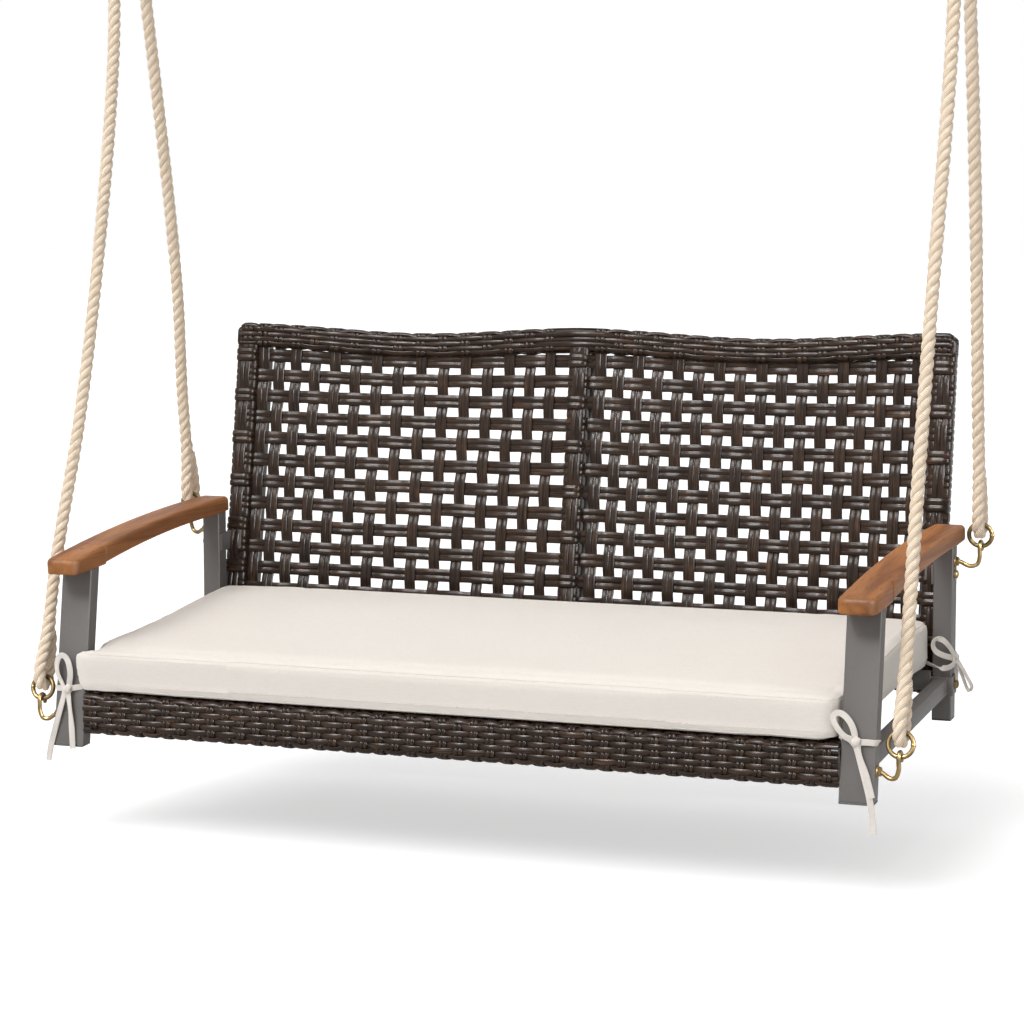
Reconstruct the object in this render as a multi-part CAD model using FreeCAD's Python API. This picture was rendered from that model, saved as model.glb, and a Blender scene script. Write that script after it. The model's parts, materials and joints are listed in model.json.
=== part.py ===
import FreeCAD, Part
import math
import os

Vector = FreeCAD.Vector

# How the seat hangs, in millimetres
ceiling_height = 1455.0
hang_setback = 324.3
seat_pitch_deg = 4.2
link_gap = 0.3
skew_gap = 1.8
touch_gap = 0.1

# Rods, rings and rope eyes have a section with this many sides
rod_sides = 6

# Cushion, which sets the width and the depth of the seat
cushion_half_width = 587.5
cushion_front_y = 17.0
cushion_depth = 505.0
cushion_height = 72.0
cushion_corner_r = 24.0
cushion_draw = 5.0
cushion_clearance = 0.4
cushion_height_shares = (0.0, 0.09, 0.79, 0.92, 1.0)
cushion_inset_shares = (0.02, 0.0, 0.0, 0.05, 0.3)
cushion_rear_y = cushion_front_y + cushion_depth

# Front legs
front_leg_clearance = 2.5
front_leg_width = 50.0
front_leg_depth = 25.6
front_leg_slope = 0.21
front_leg_top_z = 264.0
leg_edge_cut = 1.6
leg_wall = 2.0
leg_top_plate = 3.0
front_leg_inner_x = cushion_half_width + front_leg_clearance
front_leg_outer_x = front_leg_inner_x + front_leg_width

# Rear legs
rear_leg_clearance = 18.5
rear_leg_width = 30.0
rear_leg_depth = 28.0
rear_leg_set_in = 25.0
rear_leg_slope = 0.07
rear_leg_rise = 9.5
rear_leg_inner_x = cushion_half_width + rear_leg_clearance
rear_leg_outer_x = rear_leg_inner_x + rear_leg_width
rear_leg_y = cushion_rear_y - rear_leg_set_in
rear_leg_top_z = front_leg_top_z + rear_leg_rise

# Feet
foot_height = 3.0
foot_plug_height = 14.0
foot_plug_gap = 0.4

# Armrests
arm_front_y = 5.0
arm_tip_length = 97.0
arm_tip_thickness = 23.0
arm_front_overhang = 3.0
arm_rear_inner_overhang = 7.0
arm_rear_outer_overhang = 13.0
arm_rear_overhang = 16.0
arm_rear_thickness = 24.0
arm_crest_share = 0.55
arm_crest_rise = 38.0
arm_belly_rise = 13.0
arm_step = 3.0
arm_corner_cut = 14.0
arm_corner_round_share = 0.3
arm_edge_cut = 5.0
arm_joint_y = arm_front_y + arm_tip_length
arm_rear_y = rear_leg_y + rear_leg_depth + arm_rear_overhang
arm_crest_y = arm_front_y + (arm_rear_y - arm_front_y) * arm_crest_share
arm_front_inner_x = front_leg_inner_x - arm_front_overhang
arm_front_outer_x = front_leg_outer_x + arm_front_overhang
arm_rear_inner_x = rear_leg_inner_x - arm_rear_inner_overhang
arm_rear_outer_x = rear_leg_outer_x + arm_rear_outer_overhang
arm_front_top_z = front_leg_top_z + arm_tip_thickness
arm_crest_z = front_leg_top_z + arm_crest_rise
arm_rear_top_z = rear_leg_top_z + arm_rear_thickness
arm_belly_z = front_leg_top_z + arm_belly_rise

# Seat rails and deck
side_rail_inset = 5.0
side_rail_low_z = 42.0
side_rail_height = 25.0
rail_wall = 1.8
bracket_thickness = 3.0
bracket_margin = 2.0
bracket_lap = 24.0
front_rail_y = 10.5
front_rail_depth = 25.0
front_rail_low_z = 25.0
front_rail_height = 50.0
apron_wrap = 5.0
apron_edge_r = 10.0
apron_row_count = 5
apron_groove = 1.2
cross_bar_xs_share = (-0.88, -0.3, 0.3, 0.88)
cross_bar_width = 25.0
cross_bar_height = 22.5
deck_rise = 4.5
deck_thickness = 4.0
deck_margin = 4.5
deck_rear_margin = 6.0
deck_edge_r = 8.0
side_rail_inner_x = rear_leg_inner_x + side_rail_inset
side_rail_outer_x = rear_leg_outer_x - side_rail_inset
side_rail_top_z = side_rail_low_z + side_rail_height
front_rail_top_z = front_rail_low_z + front_rail_height
deck_low_z = front_rail_top_z + deck_rise
deck_top_z = deck_low_z + deck_thickness
deck_half_width = cushion_half_width - deck_margin
deck_rear_y = cushion_rear_y - deck_rear_margin
cross_bar_low_z = deck_low_z - cross_bar_height
cushion_low_z = deck_top_z + cushion_clearance

# Back panel, in its own upright frame
back_gap = 0.53
back_rise = 91.5
back_recline_deg = 12.6
back_clearance = 2.0
back_top_w = 418.0
back_drop = 134.0
border_width = 28.0
border_depth = 30.0
border_edge_cut = 4.0
border_corner_r = 22.0
border_wrap = 5.0
centre_width = 26.0
bay_hollow = 30.0
top_sag = 13.0
row_sag = 15.0
strap_width = 15.5
strap_thickness = 3.4
strap_gap = 0.2
stake_top_gap = 0.8
bar_relief = 0.5
stake_count = 16
weaver_count = 14
first_weaver_drop = 52.0
last_weaver_rise = 47.0
post_width = 25.0
post_depth = 20.0
post_top_drop = 22.0
rear_rail_depth = 25.0
rear_rail_height = 30.0
rear_rail_margin = 1.5
back_recline = math.radians(back_recline_deg)
back_line_z = deck_low_z + back_rise
back_line_y = cushion_rear_y + back_gap + (back_line_z - cushion_low_z) * math.tan(back_recline)
back_half_width = rear_leg_inner_x - back_clearance
back_low_w = -back_drop

# Back brackets
back_bracket_drop = 50.5
back_bracket_thickness = 4.0
back_bracket_height = 30.0
back_bracket_grip = 24.0
back_bracket_flange = 22.0
back_bracket_z = rear_leg_top_z - back_bracket_drop

# Ceiling hangers
plate_length = 100.0
plate_width = 58.0
plate_thickness = 5.0
plate_corner_cut = 9.0
plate_screw_spacing = 72.0
plate_screw_r = 3.4
staple_rod_r = 4.0
staple_half_span = 20.0
staple_bend_r = 9.0
staple_drop = 30.0
top_ring_r = 26.0
top_ring_rod_r = 4.0
top_eye_offset = 14.0

# Ropes with a spliced eye at both ends
rope_r = 9.5
rope_sides = 12
rope_eye_r_share = 0.94
rope_eye_length = 70.0
splice_length = 75.0
splice_swell_share = 1.22
splice_end_share = 1.02

# Lower rings and the hooks on the legs
ring_r = 17.6
ring_rod_r = 3.4
hook_rod_r = 3.25
hook_crook_r = 8.0
hook_tip = 8.0
hook_bend_r = 9.0
hook_rise = 11.0
hook_reach = 31.0
front_hook_z = 44.0
front_hook_set = 4.0
rear_hook_drop = 30.5
rear_hook_set = 21.0
hook_flange_r = 9.0
hook_flange_thickness = 3.0
hook_root_share = 0.7
rear_hook_z = rear_leg_top_z - rear_hook_drop
hang_half_span = front_leg_outer_x + hook_reach

# Cushion ties
tie_width = 9.0
tie_thickness = 2.0
tie_gap = 0.2
loop_width = 6.0
knot_width = 15.0
knot_depth = 8.0
knot_height = 12.0
knot_edge_cut = 3.0
front_tie_rise = 2.5
rear_tie_rise = 13.5
loop_length = 42.0
loop_round_r = 6.5
long_tail = 104.0
short_tail = 76.0
tail_spread = 13.0
tail_bend_share = 0.4
front_tie_z = deck_top_z + front_tie_rise
rear_tie_z = deck_top_z + rear_tie_rise
front_knot_x = (front_leg_inner_x + front_leg_outer_x) / 2

seat_place = FreeCAD.Placement(
    Vector(0, -hang_setback, -ceiling_height),
    FreeCAD.Rotation(Vector(1, 0, 0), seat_pitch_deg))
back_place = FreeCAD.Placement(
    Vector(0, back_line_y, back_line_z),
    FreeCAD.Rotation(Vector(1, 0, 0), -back_recline_deg))
x_axis = Vector(1, 0, 0)
y_axis = Vector(0, 1, 0)
z_axis = Vector(0, 0, 1)
parallel_limit = math.radians(1)
nodes = {}


def unit(vector):
    length = vector.Length
    return Vector(vector.x / length, vector.y / length, vector.z / length)


def box(x_low, x_high, y_low, y_high, z_low, z_high):
    corner = Vector(x_low, y_low, z_low)
    return Part.makeBox(x_high - x_low, y_high - y_low, z_high - z_low, corner)


def closed_face(points):
    return Part.Face(Part.makePolygon(points + [points[0]]))


def prism_yz(pairs, x_low, x_high):
    points = [Vector(x_low, y, z) for y, z in pairs]
    return closed_face(points).extrude(Vector(x_high - x_low, 0, 0))


def prism_xy(pairs, z_low, z_high):
    points = [Vector(x, y, z_low) for x, y in pairs]
    return closed_face(points).extrude(Vector(0, 0, z_high - z_low))


def edges_along(shape, axis):
    found = []
    for edge in shape.Edges:
        if len(edge.Vertexes) == 2:
            span = edge.Vertexes[1].Point - edge.Vertexes[0].Point
            if unit(span).cross(axis).Length < parallel_limit:
                found.append(edge)
    return found


def rounded_along(shape, axis, radius):
    return shape.makeFillet(radius, edges_along(shape, axis))


def mirrored(shape):
    return shape.mirror(Vector(0, 0, 0), x_axis)


def seat_node(name, shape):
    shape.Placement = seat_place.multiply(shape.Placement)
    nodes[name] = shape


def back_node(name, shape):
    shape.Placement = back_place.multiply(shape.Placement)
    seat_node(name, shape)


def seat_pair(name, right):
    seat_node("right_" + name, right.copy())
    seat_node("left_" + name, mirrored(right))


def seat_group(name, solids):
    seat_node(name, Part.makeCompound(solids))


def both_sides(solids):
    return solids + [mirrored(solid) for solid in solids]


def perpendicular(vector):
    other = y_axis if abs(unit(vector).x) > 0.9 else x_axis
    return unit(vector.cross(other))


def round_section(radius):
    turns = [2 * math.pi * (index + 0.5) / rod_sides for index in range(rod_sides)]
    return [(radius * math.cos(turn), radius * math.sin(turn)) for turn in turns]


def flat_section(width, thickness):
    half_w = width / 2
    half_t = thickness / 2
    return [(half_w, half_t), (-half_w, half_t), (-half_w, -half_t), (half_w, -half_t)]


def section_face(centre, first_axis, second_axis, section):
    return closed_face([centre + first_axis * a + second_axis * b for a, b in section])


def swept(start, heading, side_axis, section, moves):
    place = start
    pieces = []
    length = 0.0
    for kind, amount, turn_axis, turn_r in moves:
        face = section_face(place, side_axis, heading.cross(side_axis), section)
        if kind == "run":
            pieces.append(face.extrude(heading * amount))
            place = place + heading * amount
            length += amount
        else:
            centre = place + turn_axis.cross(heading) * turn_r
            degrees = math.degrees(amount)
            rotation = FreeCAD.Rotation(turn_axis, degrees)
            pieces.append(face.revolve(centre, turn_axis, degrees))
            place = centre + rotation.multVec(place - centre)
            heading = rotation.multVec(heading)
            side_axis = rotation.multVec(side_axis)
            length += amount * turn_r
    return pieces[0].fuse(pieces[1:]).removeSplitter(), length


def bent_moves(points, bend_r):
    moves = []
    used = 0.0
    for index in range(1, len(points) - 1):
        into = points[index] - points[index - 1]
        heading = unit(into)
        out = unit(points[index + 1] - points[index])
        turn = math.acos(max(-1.0, min(1.0, heading.dot(out))))
        cut_back = bend_r * math.tan(turn / 2)
        moves.append(("run", into.Length - used - cut_back, None, None))
        moves.append(("turn", turn, unit(heading.cross(out)), bend_r))
        used = cut_back
    moves.append(("run", (points[-1] - points[-2]).Length - used, None, None))
    return moves


def wire_ring(centre, axis, centre_line_r, rod_r):
    outward = perpendicular(axis)
    face = section_face(centre + outward * centre_line_r, outward, axis, round_section(rod_r))
    return face.revolve(centre, axis, 360)


def section_area(section):
    total = 0.0
    for (a, b), (c, d) in zip(section, section[1:] + section[:1]):
        total += a * d - b * c
    return abs(total) / 2


def share_of_tube(solid, length, section):
    return round(solid.Volume / (section_area(section) * length), 3)


def front_leg_y(z):
    return z * front_leg_slope


def rear_leg_front_y(z):
    return rear_leg_y + z * rear_leg_slope


def raked_pairs(front_y, depth, z_low, z_high, inset):
    return [(front_y(z_low) + inset, z_low), (front_y(z_low) + depth - inset, z_low),
            (front_y(z_high) + depth - inset, z_high), (front_y(z_high) + inset, z_high)]


def leg_prism(front_y, depth, inner_x, outer_x, z_low, z_high):
    y_low = front_y(z_low)
    y_high = y_low + depth
    cut = leg_edge_cut
    pairs = [(inner_x + cut, y_low), (outer_x - cut, y_low),
             (outer_x, y_low + cut), (outer_x, y_high - cut),
             (outer_x - cut, y_high), (inner_x + cut, y_high),
             (inner_x, y_high - cut), (inner_x, y_low + cut)]
    face = closed_face([Vector(x, y, z_low) for x, y in pairs])
    return face.extrude(Vector(0, front_y(z_high) - y_low, z_high - z_low))


def leg_tube(front_y, depth, inner_x, outer_x, top_z):
    outer = leg_prism(front_y, depth, inner_x, outer_x, foot_height, top_z)
    hollow = raked_pairs(front_y, depth, 0.0, top_z - leg_top_plate, leg_wall)
    return outer.cut(prism_yz(hollow, inner_x + leg_wall, outer_x - leg_wall))


def foot_plug(front_y, depth, inner_x, outer_x):
    pad = leg_prism(front_y, depth, inner_x, outer_x, 0.0, foot_height)
    inset = leg_wall + foot_plug_gap
    inside = raked_pairs(front_y, depth, foot_height, foot_plug_height, inset)
    return pad.fuse(prism_yz(inside, inner_x + inset, outer_x - inset)).removeSplitter()


# Places of the hooks and of the back brackets on the legs
front_hook_y = front_leg_y(front_hook_z) + front_leg_depth / 2
rear_hook_y = rear_leg_front_y(rear_hook_z) + rear_leg_depth / 2
back_bracket_y = rear_leg_front_y(back_bracket_z) + rear_leg_depth / 2


# Front legs, rear legs and feet
seat_pair("front_leg", leg_tube(
    front_leg_y, front_leg_depth, front_leg_inner_x, front_leg_outer_x, front_leg_top_z))
seat_pair("rear_leg", leg_tube(
    rear_leg_front_y, rear_leg_depth, rear_leg_inner_x, rear_leg_outer_x, rear_leg_top_z))
seat_group("foot_plugs", both_sides([
    foot_plug(front_leg_y, front_leg_depth, front_leg_inner_x, front_leg_outer_x),
    foot_plug(rear_leg_front_y, rear_leg_depth, rear_leg_inner_x, rear_leg_outer_x)]))


# Armrests: a plank with an arched top and a thicker jointed tip at the front
def arc_yz(first, second, third):
    return Part.Arc(*[Vector(0, y, z) for y, z in (first, second, third)]).toShape()


def circle_through(first, second, third):
    circle = arc_yz(first, second, third).Curve
    return circle.Center, circle.Radius


top_centre, top_radius = circle_through(
    (arm_front_y, arm_front_top_z), (arm_crest_y, arm_crest_z), (arm_rear_y, arm_rear_top_z))


def arm_top_z(y):
    return top_centre.z + math.sqrt(top_radius ** 2 - (y - top_centre.y) ** 2)


def line_yz(first, second):
    return Part.LineSegment(Vector(0, *first), Vector(0, *second)).toShape()


def arm_side_x(y, outside):
    span = arm_rear_y - arm_front_y
    front_x = arm_front_outer_x if outside else arm_front_inner_x
    rear_x = arm_rear_outer_x if outside else arm_rear_inner_x
    return front_x + (rear_x - front_x) * (y - arm_front_y) / span


def arm_plan(y_low, y_high, cut):
    inner_x = arm_side_x(y_low, False)
    outer_x = arm_side_x(y_low, True)
    near = cut * arm_corner_round_share
    front = [(inner_x, y_low), (outer_x, y_low)]
    if cut > 0:
        front = [(inner_x, y_low + cut), (inner_x + near, y_low + near), (inner_x + cut, y_low),
                 (outer_x - cut, y_low), (outer_x - near, y_low + near), (outer_x, y_low + cut)]
    rear = [(arm_side_x(y_high, True), y_high), (arm_side_x(y_high, False), y_high)]
    return prism_xy(front + rear, 0.0, arm_crest_z * 2)


def arm_solid(edges, y_low, y_high, cut):
    face = Part.Face(Part.Wire(edges))
    return face.extrude(x_axis * arm_rear_outer_x * 2).common(arm_plan(y_low, y_high, cut))


def tip_solid():
    low_z = front_leg_top_z + touch_gap
    middle_y = (arm_front_y + arm_joint_y) / 2
    front = (arm_front_y, arm_top_z(arm_front_y))
    joint = (arm_joint_y, arm_top_z(arm_joint_y))
    solid = arm_solid([
        arc_yz(front, (middle_y, arm_top_z(middle_y)), joint),
        line_yz(joint, (arm_joint_y, low_z)),
        line_yz((arm_joint_y, low_z), (arm_front_y, low_z)),
        line_yz((arm_front_y, low_z), front)], arm_front_y, arm_joint_y, arm_corner_cut)
    crown = []
    for edge in solid.Edges:
        room = edge.BoundBox
        on_top = room.ZMin > low_z + arm_step and room.ZLength < arm_step * 4
        if on_top and room.YMin < arm_joint_y - arm_step:
            crown.append(edge)
    return solid.makeChamfer(arm_edge_cut, crown)


def plank_solid():
    y_low = arm_joint_y + touch_gap
    low_z = front_leg_top_z + arm_step
    pad_z = rear_leg_top_z + touch_gap
    middle_y = (y_low + arm_rear_y) / 2
    front = (y_low, arm_top_z(y_low))
    rear = (arm_rear_y, arm_top_z(arm_rear_y))
    solid = arm_solid([
        arc_yz(front, (middle_y, arm_top_z(middle_y)), rear),
        line_yz(rear, (arm_rear_y, pad_z)),
        line_yz((arm_rear_y, pad_z), (rear_leg_y, pad_z)),
        arc_yz((rear_leg_y, pad_z), (arm_crest_y, arm_belly_z), (y_low, low_z)),
        line_yz((y_low, low_z), front)], y_low, arm_rear_y, 0.0)
    long_edges = [e for e in solid.Edges if e.BoundBox.YLength > (arm_rear_y - y_low) / 2]
    upper = [e for e in long_edges if e.BoundBox.ZMax > arm_crest_z - arm_step]
    return solid.makeChamfer(arm_edge_cut, upper)


seat_group("armrest_tips", both_sides([tip_solid()]))
seat_pair("armrest_plank", plank_solid())


# Side rails and the brackets that hold them to the rear legs
def side_rail_pairs(inset):
    low_z = side_rail_low_z + inset
    top_z = side_rail_top_z - inset
    ends = []
    for z in (low_z, top_z):
        front = front_leg_y(z) + front_leg_depth + touch_gap
        rear = rear_leg_front_y(z) - bracket_thickness - touch_gap
        ends.append((front, rear))
    return [(ends[0][0], low_z), (ends[0][1], low_z), (ends[1][1], top_z), (ends[1][0], top_z)]


rail_hollow = [
    (y + (-1 if index in (0, 3) else 1) * rail_wall, z)
    for index, (y, z) in enumerate(side_rail_pairs(rail_wall))]
side_rail = prism_yz(side_rail_pairs(0.0), side_rail_inner_x, side_rail_outer_x).cut(
    prism_yz(rail_hollow, side_rail_inner_x + rail_wall, side_rail_outer_x - rail_wall))
seat_pair("side_rail", side_rail)

bracket_low = side_rail_low_z - bracket_margin
bracket_top = side_rail_top_z + bracket_margin


def bracket_pairs(ahead, behind):
    return [(rear_leg_front_y(bracket_low) - ahead, bracket_low),
            (rear_leg_front_y(bracket_low) + behind, bracket_low),
            (rear_leg_front_y(bracket_top) + behind, bracket_top),
            (rear_leg_front_y(bracket_top) - ahead, bracket_top)]


bracket_outer_x = rear_leg_outer_x + bracket_thickness
face_pairs = bracket_pairs(bracket_thickness, 0.0)
lap_pairs = bracket_pairs(bracket_thickness, bracket_lap)
bracket_face = prism_yz(face_pairs, rear_leg_inner_x, bracket_outer_x)
bracket_lap_plate = prism_yz(lap_pairs, rear_leg_outer_x, bracket_outer_x)
seat_pair("rail_bracket", bracket_face.fuse(bracket_lap_plate).removeSplitter())


# Front rail with its woven sleeve
front_rail_rear_y = front_rail_y + front_rail_depth
front_rail_half = front_leg_inner_x - touch_gap
rail_outer = box(-front_rail_half, front_rail_half, front_rail_y, front_rail_rear_y,
                 front_rail_low_z, front_rail_top_z)
rail_inner = box(-front_rail_half, front_rail_half, front_rail_y + rail_wall, front_rail_rear_y - rail_wall,
                 front_rail_low_z + rail_wall, front_rail_top_z - rail_wall)
seat_node("front_rail", rail_outer.cut(rail_inner))
apron_front_y = front_rail_y - apron_wrap
apron_rear_y = front_rail_rear_y + apron_wrap
apron_low_z = front_rail_low_z - apron_wrap
apron_top_z = front_rail_top_z + apron_wrap
sleeve = rounded_along(
    box(-front_rail_half, front_rail_half, apron_front_y, apron_rear_y, apron_low_z, apron_top_z),
    x_axis, apron_edge_r)
sleeve = sleeve.cut(box(
    -front_rail_half, front_rail_half, front_rail_y - touch_gap, front_rail_rear_y + touch_gap,
    front_rail_low_z - touch_gap, front_rail_top_z + touch_gap))
grooves = []
for row in range(1, apron_row_count):
    groove_z = apron_low_z + (apron_top_z - apron_low_z) * row / apron_row_count
    grooves.append(box(-front_rail_half, front_rail_half, apron_front_y, apron_front_y + apron_groove,
                       groove_z - apron_groove / 2, groove_z + apron_groove / 2))
seat_node("front_apron_weave", sleeve.cut(Part.makeCompound(grooves)))


# Rear rail, which lies against the front of the back panel
rear_rail_front_rise = rear_rail_depth * math.sin(back_recline)
rear_rail_top_z = deck_low_z - rear_rail_margin
rear_rail_top_w = (rear_rail_top_z - back_line_z - rear_rail_front_rise) / math.cos(back_recline)
rear_rail_low_w = rear_rail_top_w - rear_rail_height
rear_rail_half = rear_leg_inner_x - touch_gap


def rear_rail_box(inset, reach_n):
    return box(-rear_rail_half, rear_rail_half,
               -rear_rail_depth - touch_gap + inset, reach_n - inset,
               rear_rail_low_w + inset, rear_rail_top_w - inset)


back_node("rear_rail", rear_rail_box(0.0, -touch_gap).cut(rear_rail_box(rail_wall, -touch_gap)))
rear_rail_keep_out = rear_rail_box(-touch_gap, rear_rail_depth * 4)
rear_rail_keep_out.Placement = back_place


# Cross bars and the woven deck they carry
cross_bars = []
for share in cross_bar_xs_share:
    centre_x = share * deck_half_width
    low_x = centre_x - cross_bar_width / 2
    high_x = centre_x + cross_bar_width / 2
    bar = box(low_x, high_x, apron_rear_y + touch_gap, deck_rear_y, cross_bar_low_z, deck_low_z - touch_gap)
    hollow = box(low_x + rail_wall, high_x - rail_wall, apron_rear_y, deck_rear_y,
                 cross_bar_low_z + rail_wall, deck_low_z - touch_gap - rail_wall)
    bar = bar.cut(hollow).cut(rear_rail_keep_out)
    cross_bars.append(max(bar.Solids, key=lambda solid: solid.Volume))
seat_group("seat_cross_bars", cross_bars)
deck = box(-deck_half_width, deck_half_width, apron_rear_y + touch_gap, deck_rear_y,
           deck_low_z, deck_top_z)
seat_node("seat_deck_weave", rounded_along(deck, z_axis, deck_edge_r))


# Cushion: a loft through rounded outlines with drawn-in sides and a crown
def cushion_outline(z, inset):
    half_x = cushion_half_width - inset
    front_y = cushion_front_y + inset
    rear_y = cushion_rear_y - inset
    radius = cushion_corner_r
    slack = radius * (1 - math.sqrt(0.5))
    middle_y = (front_y + rear_y) / 2
    draw = cushion_draw
    corner = [
        (Vector(half_x, front_y + radius, z), Vector(half_x - slack, front_y + slack, z),
         Vector(half_x - radius, front_y, z)),
        (Vector(-half_x + radius, front_y, z), Vector(-half_x + slack, front_y + slack, z),
         Vector(-half_x, front_y + radius, z)),
        (Vector(-half_x, rear_y - radius, z), Vector(-half_x + slack, rear_y - slack, z),
         Vector(-half_x + radius, rear_y, z)),
        (Vector(half_x - radius, rear_y, z), Vector(half_x - slack, rear_y - slack, z),
         Vector(half_x, rear_y - radius, z))]
    middles = [Vector(0, front_y + draw, z), Vector(-half_x + draw, middle_y, z),
               Vector(0, rear_y - draw, z), Vector(half_x - draw, middle_y, z)]
    edges = []
    for index in range(4):
        edges.append(Part.Arc(*corner[index]).toShape())
        following = corner[(index + 1) % 4][0]
        edges.append(Part.Arc(corner[index][2], middles[index], following).toShape())
    return Part.Wire(edges)


outlines = []
for height_share, inset_share in zip(cushion_height_shares, cushion_inset_shares):
    outlines.append(cushion_outline(
        cushion_low_z + cushion_height * height_share, cushion_depth * inset_share))
seat_node("seat_cushion", Part.makeLoft(outlines, True, True))


# Back panel: borders, centre column, curved top and bottom, straps and posts
border_inner_u = back_half_width - border_width
centre_half = centre_width / 2
middle_n = border_depth / 2
bay_middle_u = (centre_half + border_inner_u) / 2
bay_half = (border_inner_u - centre_half) / 2


def bay_n(u):
    return middle_n + bay_hollow * (1 - ((u - bay_middle_u) / bay_half) ** 2)


def bay_slope(u):
    return -2 * bay_hollow * (u - bay_middle_u) / bay_half ** 2


def bay_arc(w, sag, shift_n):
    start = Vector(centre_half, middle_n + shift_n, w)
    middle = Vector(bay_middle_u, middle_n + bay_hollow + shift_n, w - sag)
    end = Vector(border_inner_u, middle_n + shift_n, w)
    return Part.Arc(start, middle, end).toShape()


def bay_bar(w, sag, shift_n, half_n, half_w):
    arc = bay_arc(w, sag, shift_n)
    circle = arc.Curve
    extra = border_depth / circle.Radius
    first = arc.FirstParameter - extra
    last = arc.LastParameter + extra
    start = circle.value(first)
    along = unit(circle.tangent(first)[0])
    up = unit(z_axis - along * z_axis.dot(along))
    across = up.cross(along)
    face = section_face(start, across, up, flat_section(half_n * 2, half_w * 2))
    bar = face.revolve(circle.Center, circle.Axis, math.degrees(last - first))
    keep = box(centre_half + strap_gap, border_inner_u - strap_gap,
               -border_depth * 2, border_depth * 4, back_low_w * 2, back_top_w * 2)
    return bar.common(keep)


def upright(u_low, u_high, low_w, top_w):
    bar = box(u_low, u_high, 0.0, border_depth, low_w, top_w)
    return bar.makeChamfer(border_edge_cut, edges_along(bar, z_axis))


def side_border_solid():
    round_low_w = back_top_w - border_corner_r
    round_u = back_half_width - border_corner_r
    slack = border_corner_r * (1 - math.sqrt(0.5))
    low_inner = Vector(border_inner_u, 0, back_low_w)
    low_outer = Vector(back_half_width, 0, back_low_w)
    round_start = Vector(back_half_width, 0, round_low_w)
    round_middle = Vector(back_half_width - slack, 0, back_top_w - slack)
    round_end = Vector(round_u, 0, back_top_w)
    top_inner = Vector(border_inner_u, 0, back_top_w)
    outline = Part.Wire([
        Part.LineSegment(low_inner, low_outer).toShape(),
        Part.LineSegment(low_outer, round_start).toShape(),
        Part.Arc(round_start, round_middle, round_end).toShape(),
        Part.LineSegment(round_end, top_inner).toShape(),
        Part.LineSegment(top_inner, low_inner).toShape()])
    solid = Part.Face(outline).extrude(y_axis * border_depth)
    rim = []
    for edge in solid.Edges:
        room = edge.BoundBox
        flat = room.YLength < touch_gap
        if flat and room.XMax > border_inner_u + touch_gap and room.ZMax > back_low_w + touch_gap:
            rim.append(edge)
    return solid.makeChamfer(border_edge_cut, rim)


core_low = back_low_w
core_top = back_top_w - border_corner_r
core_u = (border_inner_u + border_wrap, back_half_width - border_wrap)
core_n = (border_wrap, border_depth - border_wrap)


def core_bar(u_low, u_high, inset, top_w):
    return box(u_low + inset, u_high - inset, core_n[0] + inset, core_n[1] - inset, core_low, top_w - inset)


side_border = side_border_solid()
side_border = side_border.cut(core_bar(core_u[0], core_u[1], 0.0, core_top))
side_core = core_bar(core_u[0], core_u[1], touch_gap, core_top)
side_core = side_core.cut(core_bar(core_u[0], core_u[1], rail_wall, core_top))
back_node("back_right_border", side_border.copy())
back_node("back_left_border", mirrored(side_border))

centre_core_u = centre_half - border_wrap
column = upright(-centre_half, centre_half, back_low_w, back_top_w)
column = column.cut(core_bar(-centre_core_u, centre_core_u, 0.0, core_top))
centre_core = core_bar(-centre_core_u, centre_core_u, touch_gap, core_top)
centre_core = centre_core.cut(core_bar(-centre_core_u, centre_core_u, rail_wall, core_top))
back_node("back_centre_column", column)
back_node("back_stiles", Part.makeCompound([side_core, centre_core, mirrored(side_core)]))

bar_half_n = border_depth / 2 - bar_relief
top_bar = bay_bar(back_top_w - border_width / 2, top_sag, 0.0, bar_half_n, border_width / 2)
low_bar = bay_bar(back_low_w + border_width / 2, 0.0, 0.0, bar_half_n, border_width / 2)
back_node("back_right_top_border", top_bar.copy())
back_node("back_left_top_border", mirrored(top_bar))
back_node("back_low_borders", Part.makeCompound([low_bar, mirrored(low_bar)]))

layer = (strap_thickness + strap_gap) / 2
half_strap = strap_width / 2
half_thick = strap_thickness / 2
stake_low_w = back_low_w + border_width + touch_gap
stake_pitch = (border_inner_u - centre_half) / stake_count
stakes = []
for index in range(stake_count):
    u = centre_half + stake_pitch * (index + 0.5)
    sag = top_sag * (1 - ((u - bay_middle_u) / bay_half) ** 2)
    top_w = back_top_w - border_width - sag - stake_top_gap
    stake = box(-half_strap, half_strap, layer - half_thick, layer + half_thick, stake_low_w, top_w)
    turn = math.degrees(math.atan(bay_slope(u)))
    stake.Placement = FreeCAD.Placement(Vector(u, bay_n(u), 0), FreeCAD.Rotation(z_axis, turn))
    stakes.append(stake)
weavers = []
first_w = back_top_w - first_weaver_drop
last_w = back_low_w + last_weaver_rise
for index in range(weaver_count):
    share = index / (weaver_count - 1)
    w = first_w + (last_w - first_w) * share
    weavers.append(bay_bar(w, row_sag * (1 - share), -layer, half_thick, half_strap).Solids[0])
back_node("back_stakes", Part.makeCompound(both_sides(stakes)))
back_node("back_weavers", Part.makeCompound(both_sides(weavers)))


def back_post(u):
    n_low = border_depth + touch_gap
    post = box(u - post_width / 2, u + post_width / 2, n_low, n_low + post_depth,
               back_low_w, back_top_w - post_top_drop)
    inside = box(u - post_width / 2 + rail_wall, u + post_width / 2 - rail_wall,
                 n_low + rail_wall, n_low + post_depth - rail_wall, back_low_w, back_top_w - post_top_drop)
    return post.cut(inside)


post_us = (border_width / 2 - back_half_width, 0.0, back_half_width - border_width / 2)
back_node("back_posts", Part.makeCompound([back_post(u) for u in post_us]))


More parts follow.
